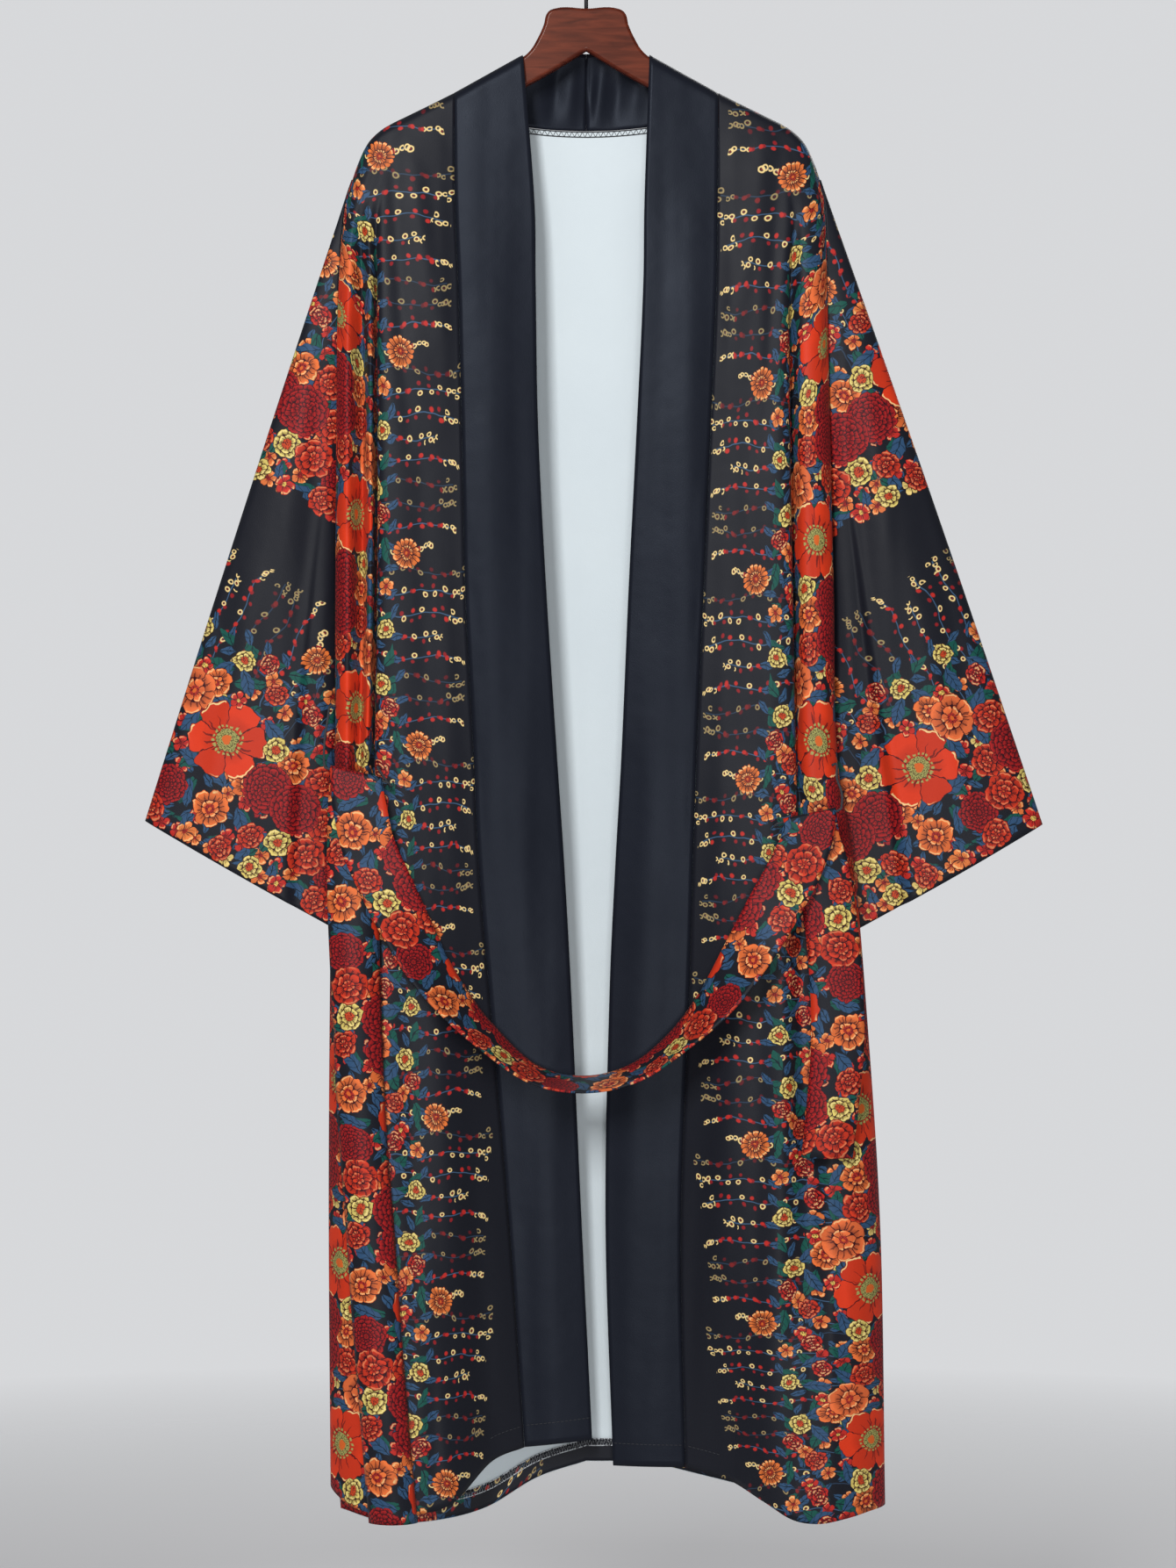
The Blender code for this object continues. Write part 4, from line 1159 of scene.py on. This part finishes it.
CHARTS = (
    (
        Strip(0, "small_red", 24, 10, 9), Strip(20, "dahlia", 62, 38, 17), Strip(56, "orange", 122, 72, 15),
        Strip(88, "peony", 14, 104, 15), Strip(120, "bare", 0, 0, 1), Strip(132, "small_red", 40, 141, 8),
        Strip(150, "small_orange", 98, 159, 8), Strip(168, "bare", 0, 0, 1),
    ),
    (
        Strip(0, "small_orange", 96, 11, 9), Strip(21, "orange", 104, 38, 16), Strip(55, "peony", 34, 72, 15),
        Strip(88, "orange", 148, 104, 15), Strip(120, "orange", 56, 134, 13),
        Strip(148, "small_red", 130, 156, 7.5), Strip(164, "small_orange", 148, 172, 8),
        Strip(181, "bare", 0, 0, 1),
    ),
    (
        Strip(0, "peony", 58, 14, 13), Strip(28, "yellow_rose", 8, 41, 12), Strip(54, "dahlia", 138, 76, 22),
        Strip(98, "orange_poppy", 42, 119, 20), Strip(140, "peony", 106, 150, 10),
        Strip(161, "yellow_rose", 22, 170, 9), Strip(180, "bare", 0, 0, 1),
    ),
    (
        Strip(0, "peony", 128, 12, 11), Strip(24, "peony", 34, 42, 17), Strip(60, "poppy", 88, 96, 34),
        Strip(131, "red_rose", 6, 141, 9.5), Strip(152, "yellow_rose", 68, 162, 10),
        Strip(173, "bare", 0, 0, 1),
    ),
    (
        Strip(0, "yellow_rose", 158, 11, 10), Strip(22, "peony", 146, 35, 12), Strip(48, "dahlia", 6, 73, 22),
        Strip(97, "yellow_rose", 128, 109, 11.5), Strip(121, "small_red", 80, 130, 8),
        Strip(139, "red_rose", 140, 149, 9.5), Strip(160, "red_rose", 88, 169, 9),
        Strip(179, "chrysanthemum", CHRYSANTHEMUM_ALONG, 192, 13), Strip(206, "bare", 0, 0, 1),
    ),
)
CHART_REACH = 256.0


def chart_layer(tree, under, u, v, chart):
    """Return the colour under with the flowers of one chart painted on it."""
    strips = [(strip, KINDS[strip.kind]) for strip in chart]
    at = v / CHART_REACH

    def read(rows):
        stops = [(strip.low / CHART_REACH, row) for (strip, _), row in zip(strips, rows)]
        return tree.add("ShaderNodeValToRGB", {"interpolation": "CONSTANT", "stops": stops}, {"Fac": at})

    place = read([(s.along / REPEAT, s.inward / CHART_REACH, s.radius / CHART_REACH, k.petals / 32)
                  for s, k in strips])
    petal = read([(*k.colour, k.tiers / 8) for _, k in strips])
    heart = read([(*k.heart_colour, k.heart) for _, k in strips])
    rim = read([(*[RIMS.get(s.kind, 0.6)] * 3, NOTCHES.get(s.kind, 0.42)) for s, _ in strips])
    parts = tree.add("ShaderNodeSeparateXYZ", {}, {0: place})
    x = (u - parts * REPEAT).math("WRAP", REPEAT / 2, -REPEAT / 2)
    y = v - parts.other("Y") * CHART_REACH
    mask, colour = flower(tree, x, y, parts.other("Z") * CHART_REACH, place.other("Alpha") * 32,
                          petal.other("Alpha") * 8, petal, heart, heart.other("Alpha"), rim,
                          rim.other("Alpha"))
    return tree.paint(under, colour, mask)


print("flowers charted in one repeat:", sum(len(chart) for chart in CHARTS))


# %% [markdown]
# Between the flowers lie leaves, and above them thin stems climb out of the border, each with small ring
# blossoms and buds. Both come from a grid of cells. A White Noise node gives each cell its own numbers,
# and the cell's count along the border is taken modulo the repeat, so the print repeats as a real one does.

# %% Leaves, filling flowers and sprigs
TEAL = (0.007, 0.080, 0.062, 1)
BLUE = (0.028, 0.074, 0.155, 1)
STEM_BLUE = (0.045, 0.100, 0.185, 1)
LEAF_OUTLINE = (0.004, 0.012, 0.02, 1)
FILLER_HUES = ((0.0, (0.60, 0.03, 0.02, 1)), (0.42, (0.82, 0.20, 0.05, 1)), (0.74, (0.80, 0.60, 0.18, 1)),
               (0.86, (0.38, 0.016, 0.02, 1)))
FILLER_HEART = (0.30, 0.015, 0.012, 1)
LEAF_JITTER = 5.0
FILLER_JITTER = 4.0


def own_numbers(tree, column, row, per_repeat, seed):
    """Return a cell's own three numbers, which are the same in every repeat."""
    key = tree.add("ShaderNodeCombineXYZ", {},
                   {0: column.math("FLOORED_MODULO", per_repeat), 1: row, 2: seed})
    noise = tree.add("ShaderNodeTexWhiteNoise", {"noise_dimensions": "3D"}, {"Vector": key}).other("Color")
    return tree.add("ShaderNodeSeparateXYZ", {}, {0: noise})


def cells(tree, u, v, per_repeat, height, seed, jitter):
    """Return (x, y, numbers): each cell's own coordinates about a jittered centre, and its numbers."""
    width = REPEAT / per_repeat
    row = (v / height).math("FLOOR")
    shifted = u + row.math("MODULO", 2) * (width / 2)
    column = (shifted / width).math("FLOOR")
    parts = own_numbers(tree, column, row, per_repeat, seed)
    x = shifted - (column + 0.5) * width - (parts - 0.5) * jitter
    y = v - (row + 0.5) * height - (parts.other("Y") - 0.5) * jitter
    return x, y, parts


def leaf_layer(tree, under, u, v, per_repeat, height, length, colour, seed, low, high):
    """Return the colour under with pointed leaves on it, each turned its own way."""
    x, y, parts = cells(tree, u, v, per_repeat, height, seed, LEAF_JITTER)
    turn = parts.other("Z") * (2 * math.pi)
    cosine, sine = turn.math("COSINE"), turn.math("SINE")
    along = (x * cosine + y * sine) / length
    across = y * cosine - x * sine
    width = (1 - along * along) * (length * 0.42)
    inside = ((width - abs(across)) * 2.5).clamp() * (abs(along) < 1) * (v > low) * (v < high)
    ribs = ((abs(across) * 1.1 - along * length).math("SINE") > 0.8) * 0.5
    midrib = abs(across) < 0.35
    edge = (1.3 - (width - abs(across)) * 2).clamp()
    dark = tree.paint(colour, LEAF_OUTLINE, midrib.most(ribs).most(edge))
    return tree.paint(under, dark, inside)


def filler_layer(tree, under, u, v, per_repeat, height, radius, seed, low, high, keep):
    """Return the colour under with small five-petalled flowers on it, in four colours."""
    x, y, parts = cells(tree, u, v, per_repeat, height, seed, FILLER_JITTER)
    colour = tree.add("ShaderNodeValToRGB", {"interpolation": "CONSTANT", "stops": FILLER_HUES},
                      {"Fac": parts.other("Z")})
    mask, drawn = flower(tree, x, y, radius, 5.0, 1.0, colour, FILLER_HEART, 0.30, rim=0.5)
    wanted = (v > low) * (v < high) * (parts < keep)
    return tree.paint(under, drawn, mask * wanted)


SPRIGS_PER_REPEAT = 9
BLOSSOM_STEP = 9.6
SPRIG_ROOT = 96
SPRIG_SWAY = 2.2
FIRST_BLOSSOM = 150
LOWEST_TIP = 214
TIP_SPREAD = 30
FAINTER = 0.62
BLOSSOM_CREAM = (0.84, 0.62, 0.26, 1)
BERRY_RED = (0.26, 0.012, 0.016, 1)
BUD_RED = (0.48, 0.024, 0.018, 1)


def sprig_layer(tree, under, u, v):
    """Return the colour under with thin wavy stems, ring blossoms and buds beside them."""
    width = REPEAT / SPRIGS_PER_REPEAT
    column = (u / width).math("FLOOR")
    own = own_numbers(tree, column, 3.0, SPRIGS_PER_REPEAT, 7.0)
    lean = own.other("Y") - 0.5
    sway = (v * 0.105 + own * 6).math("SINE") * SPRIG_SWAY
    stem_x = (u - (column + 0.5) * width) - sway - lean * (v - 190) * 0.16
    tip = own.other("Z") * TIP_SPREAD + LOWEST_TIP
    grown = (v < tip) * (v > SPRIG_ROOT)
    stem = (1.5 - abs(stem_x) * 2.4).clamp() * grown
    painted = tree.paint(under, STEM_BLUE, stem)
    step = (v / BLOSSOM_STEP).math("FLOOR")
    bud = own_numbers(tree, column, step, SPRIGS_PER_REPEAT, 11.0)
    x = stem_x - (bud - 0.5) * 7.5
    y = v - (step + 0.5) * BLOSSOM_STEP - (bud.other("Y") - 0.5) * 3
    away = distance(x, y)
    second = distance(stem_x + (bud - 0.5) * 9.0, y + 2.2)
    wanted = (v < tip + 3) * (v > FIRST_BLOSSOM)
    ring = (1.4 - abs(away - 1.75) * 1.7).clamp()
    at_tip = v > tip - 10
    petal = (bud.other("Z") > 0.58).most(at_tip)
    third = distance(stem_x - lean * 9.0, y - 4.3)
    painted = tree.paint(painted, BERRY_RED, (2.6 - second * 1.3).clamp() * wanted * (1 - at_tip))
    tip_rings = (1.4 - abs(second - 1.6) * 1.8).clamp().most((1.4 - abs(third - 1.6) * 1.8).clamp())
    painted = tree.paint(painted, BLOSSOM_CREAM, tip_rings * wanted * at_tip)
    painted = tree.paint(painted, BLOSSOM_CREAM, ring * wanted * petal)
    painted = tree.paint(painted, BUD_RED, (2.8 - away * 1.2).clamp() * wanted * (1 - petal))
    core = (1.2 - away * 1.4).clamp() * wanted * petal
    painted = tree.paint(painted, BERRY_RED, core)
    return tree.paint(under, painted, 1 - (own > 0.42) * FAINTER)


# %% [markdown]
# The border is painted from the ground up: plain dark satin, stems, leaves, filling flowers, then the
# charted ones. A little noise bends all of it first, so that no petal is a perfect curve.

# %% The whole print
BENDS = ((0.055, 5.0), (0.17, 2.6), (0.42, 0.9))
BORDER_TOP = 262
BORDER_FOOT = -3
JOIN_MARGIN = 8
NAVY = (0.0090, 0.0100, 0.0155, 1)


def in_border(inward):
    """Return how far in from its border's edge a point is, also where a sleeve's second border starts."""
    return inward - (inward > SECOND_BORDER - JOIN_MARGIN) * SECOND_BORDER


def print_colour(tree):
    """Return the print's colour from the piece's own place in the print."""
    bent = []
    flat = tree.add("ShaderNodeUVMap", {"uv_map": "print"})
    place = tree.add("ShaderNodeVectorMath", {"operation": "SCALE"}, {0: flat, "Scale": 1000.0})
    for scale, reach in BENDS:
        bend = tree.add("ShaderNodeTexNoise", {"noise_dimensions": "2D"},
                        {"Vector": place, "Scale": scale, "Detail": 1.0}, out="Color")
        centred = tree.add("ShaderNodeVectorMath", {"operation": "SUBTRACT"}, {0: bend, 1: (0.5, 0.5, 0.5)})
        moved = tree.add("ShaderNodeVectorMath", {"operation": "SCALE"}, {0: centred, "Scale": reach})
        place = tree.add("ShaderNodeVectorMath", {"operation": "ADD"}, {0: place, 1: moved})
        bent.append(tree.add("ShaderNodeSeparateXYZ", {}, {0: place}))
    calm = bent[0]
    u = bent[-1]
    v = in_border(u.other("Y"))
    inside = v.most(0.5)
    colour = sprig_layer(tree, NAVY, calm, in_border(calm.other("Y")))
    colour = leaf_layer(tree, colour, u, v, per_repeat=9, height=17.0, length=8.0, colour=BLUE, seed=1.0,
                        low=8.0, high=186.0)
    colour = filler_layer(tree, colour, u, v, per_repeat=10, height=16.5, radius=7.4, seed=3.0, low=0.0,
                          high=146.0, keep=0.55)
    colour = leaf_layer(tree, colour, u, v, per_repeat=6, height=27.0, length=15.0, colour=TEAL, seed=2.0,
                        low=16.0, high=176.0)
    colour = leaf_layer(tree, colour, u, v, per_repeat=6, height=27.0, length=13.5, colour=BLUE, seed=5.0,
                        low=12.0, high=168.0)
    for chart in CHARTS:
        colour = chart_layer(tree, colour, u, inside, chart)
    plain = ((v > BORDER_TOP) + (v < BORDER_FOOT)).clamp()
    return tree.paint(colour, NAVY, plain)


# %% [markdown]
# Satin shines because its long threads lie side by side. At this size the threads can't be seen, so the
# finish has a fine grain and long soft waves in its bump, a little sheen, and slow changes in its
# roughness where the cloth has been handled.

# %% The cloth's finishes
def satin_surface(finish, roughness, specular, drape=1.0, grain=0.05):
    """Give a finish the surface of satin: fine grain, long soft waves down the cloth and a little sheen."""
    place = finish.add("ShaderNodeTexCoord", out="Object")
    hung = finish.add("ShaderNodeMapping", {}, {"Vector": place, "Scale": (26.0, 26.0, 1.6)})
    waves = finish.add("ShaderNodeTexNoise", {}, {"Vector": hung, "Scale": 1.0, "Detail": 1.0})
    soft = finish.noise(14.0, 3.0)
    fine = finish.noise(1400.0, 1.0)
    finish.set(Roughness=soft * 0.16 + (roughness - 0.08))
    finish.bump(soft * 0.9 + fine * grain + waves * drape, 0.0018)
    finish.set(Sheen_Weight=0.02, Sheen_Roughness=0.5, Specular_IOR_Level=specular)


printed_satin = Finish("printed satin")
printed_satin.set(Base_Color=print_colour(printed_satin))
satin_surface(printed_satin, 0.50, 0.15, drape=1.1)

black_satin = Finish("plain dark satin")
black_satin.set(Base_Color=black_satin.paint((0.0070, 0.0082, 0.0130, 1), (0.0100, 0.0116, 0.0185, 1),
                                             black_satin.noise(9.0, 2.0)))
satin_surface(black_satin, 0.40, 0.12, drape=1.6)
black_satin.set(Specular_Tint=(0.72, 0.82, 1.0, 1))

pale_reverse = Finish("pale reverse of the cloth")
pale_reverse.set(Base_Color=pale_reverse.paint((0.62, 0.69, 0.73, 1), (0.68, 0.75, 0.78, 1),
                                               pale_reverse.noise(6.0, 3.0)))
satin_surface(pale_reverse, 0.62, 0.3, drape=0.3)

thread_finish = Finish("overlock thread")
two_tone = thread_finish.noise(900.0, 0.0)
thread_finish.set(Base_Color=thread_finish.paint((0.03, 0.032, 0.04, 1), (0.62, 0.65, 0.68, 1),
                                                 ((two_tone - 0.36) * 8).clamp()), Roughness=0.8)

dark_thread = Finish("dark thread")
# The dark thread's lighter patches are a painted sheen; the same noise also gives the twist of the thread in
# its bump.
twist_and_sheen = dark_thread.noise(700.0, 1.0)
dark_thread.set(Base_Color=dark_thread.paint((0.012, 0.013, 0.017, 1), (0.045, 0.048, 0.058, 1), twist_and_sheen),
                Roughness=0.8)
dark_thread.bump(twist_and_sheen, 0.0003)

# %% [markdown]
# The hanger is stained wood under a thin gloss lacquer. The grain is noise that is stretched along the
# board, and the gloss is the shader's coat over it, with a warm tint so that the light doesn't grey it.

# %% The hanger's finishes
lacquer = Finish("red-brown lacquered wood")
along_board = lacquer.add("ShaderNodeMapping", {}, {
    "Vector": lacquer.add("ShaderNodeTexCoord", out="Object"), "Scale": (9.0, 60.0, 70.0)})
grain = lacquer.add("ShaderNodeTexNoise", {},
                    {"Vector": along_board, "Scale": 3.0, "Detail": 6.0, "Distortion": 0.6})
stained = lacquer.paint((0.045, 0.007, 0.004, 1), (0.150, 0.027, 0.012, 1), ((grain - 0.3) * 2.2).clamp())
lacquer.set(Base_Color=stained,
            Roughness=grain * 0.1 + 0.30, Specular_IOR_Level=0.2, Specular_Tint=(1.0, 0.62, 0.50, 1),
            Coat_Weight=0.10, Coat_Roughness=0.12)
lacquer.bump(grain, 0.0002, 0.4)

wire_finish = Finish("black wire")
rubbed = wire_finish.noise(220.0, 2.0)
wire_finish.set(Base_Color=wire_finish.paint((0.012, 0.012, 0.014, 1), (0.05, 0.05, 0.055, 1), rubbed),
                Roughness=rubbed * 0.2 + 0.25, Metallic=0.9)

# %% Dress each piece in its finish
finishes = {
    **{piece: (printed_satin, pale_reverse) for piece in (back, *fronts.values(), *sleeves.values())},
    **{piece: (black_satin, black_satin) for piece in bands.values()},
    belt: (printed_satin, printed_satin),
    turn_up: (printed_satin, printed_satin),
    **{piece: (dark_thread,) for piece in (*thread_loops.values(), *hem_rows.values(), neck_stitches)},
    hem_stitches: (thread_finish,),
    wood: (lacquer,),
    hook: (wire_finish,),
}
for piece, both_sides in finishes.items():
    piece.data.materials.clear()
    for finish in both_sides:
        piece.data.materials.append(finish.material)
    for face in piece.data.polygons:
        face.material_index = 0

# %% [markdown]
# The cut of a piece is wider than it looks, because its folds take up cloth.

# %% Hide the imported solids, attach each piece to the root, and print its finish slot and area
for side in FRONTS:
    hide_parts(f"front_{side}")
    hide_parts(f"neck_band_{side}")
    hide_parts(f"sleeve_{side}")
    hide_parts(f"belt_loop_{side}")
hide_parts("back")
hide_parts("belt")
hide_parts("hanger_wood")
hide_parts("hanger_hook")

SLOTS = {
    "printed_satin": (back, belt, turn_up, *fronts.values(), *sleeves.values()),
    "black_satin": (*bands.values(), *thread_loops.values(), *hem_rows.values(), neck_stitches, hem_stitches),
    "red_brown_wood": (wood,),
    "black_wire": (hook,),
}
for name, pieces in SLOTS.items():
    for piece in pieces:
        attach(piece, "root")
        print(f"{piece.name}: {name}")


def cloth_area(piece):
    """Return the area of a piece's grid, in square metres."""
    return sum(face.area for face in piece.data.polygons)


for piece in (back, belt, turn_up, *fronts.values(), *bands.values(), *sleeves.values()):
    print(f"{piece.name}: {cloth_area(piece):.4f} square metres")

for side in FRONTS:
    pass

# %% [markdown]
# The studio is a pale floor under the coat, a soft light in front of it to the upper left, a weaker one
# low in front that lifts the folds, and one behind that rims the edges. The camera looks straight on.

# %% The camera
DISTANCE = 3.2
FRAME_HEIGHT = 1.3395
camera = placed("camera", bpy.data.cameras.new("camera"))
camera.location = (0.0015, -DISTANCE, -0.7245)
camera.rotation_euler = (math.radians(90), 0, 0)
camera.data.sensor_width = 36
camera.data.lens = 36 * DISTANCE / FRAME_HEIGHT
camera.data.clip_end = 60
bpy.context.scene.camera = camera

# %% The floor and the lights
FLOOR_RADIUS = 3.0
FLOOR_Z = -1.62
floor_form = bmesh.new()
bmesh.ops.create_circle(floor_form, cap_ends=True, segments=96, radius=FLOOR_RADIUS)
floor_mesh = bpy.data.meshes.new("floor")
floor_form.to_mesh(floor_mesh)
floor_form.free()
floor_mesh.transform(Matrix.Translation((0, 0, FLOOR_Z)))
floor = placed("floor", floor_mesh)
floor_finish = Finish("pale floor")
floor_finish.set(Base_Color=(0.62, 0.62, 0.63, 1), Roughness=0.9)
floor_place = floor_finish.add("ShaderNodeSeparateXYZ", {}, {
    0: floor_finish.add("ShaderNodeTexCoord", out="Object")})
from_middle = distance(floor_place, floor_place.other("Y"))
floor_finish.set(Alpha=((2.6 - from_middle) / 1.4).clamp())
floor_mesh.materials.append(floor_finish.material)


def soft_light(name, place, towards, size, power, colour=(1, 1, 1)):
    """Add a large soft light that points at a place."""
    lamp = bpy.data.lights.new(name, "AREA")
    lamp.shape, lamp.size, lamp.size_y, lamp.energy, lamp.color = "RECTANGLE", *size, power, colour
    made = placed(name, lamp)
    made.location = place
    made.rotation_euler = (Vector(towards) - Vector(place)).to_track_quat("-Z", "Y").to_euler()


soft_light("key", (-0.7, -2.6, 0.6), (0, 0, -0.8), (0.5, 1.2), 60)
soft_light("fill", (0.15, -3.1, -1.2), (0, 0, -1.0), (0.5, 1.2), 26)
soft_light("rim", (0.6, 1.8, 0.6), (0, 0, -0.7), (1.6, 1.6), 34)

AMBIENT = 0.27
BACKDROP = 0.85
world = bpy.data.worlds.new("studio")
world.use_nodes = True
backdrop = world.node_tree.nodes["Background"]
backdrop.inputs["Color"].default_value = (0.80, 0.81, 0.83, 1)
seen = world.node_tree.nodes.new("ShaderNodeLightPath").outputs["Is Camera Ray"]
strength = world.node_tree.nodes.new("ShaderNodeMapRange")
strength.inputs["To Min"].default_value = AMBIENT
strength.inputs["To Max"].default_value = BACKDROP
world.node_tree.links.new(seen, strength.inputs["Value"])
world.node_tree.links.new(strength.outputs["Result"], backdrop.inputs["Strength"])
bpy.context.scene.world = world
bpy.context.scene.view_settings.view_transform = "Standard"
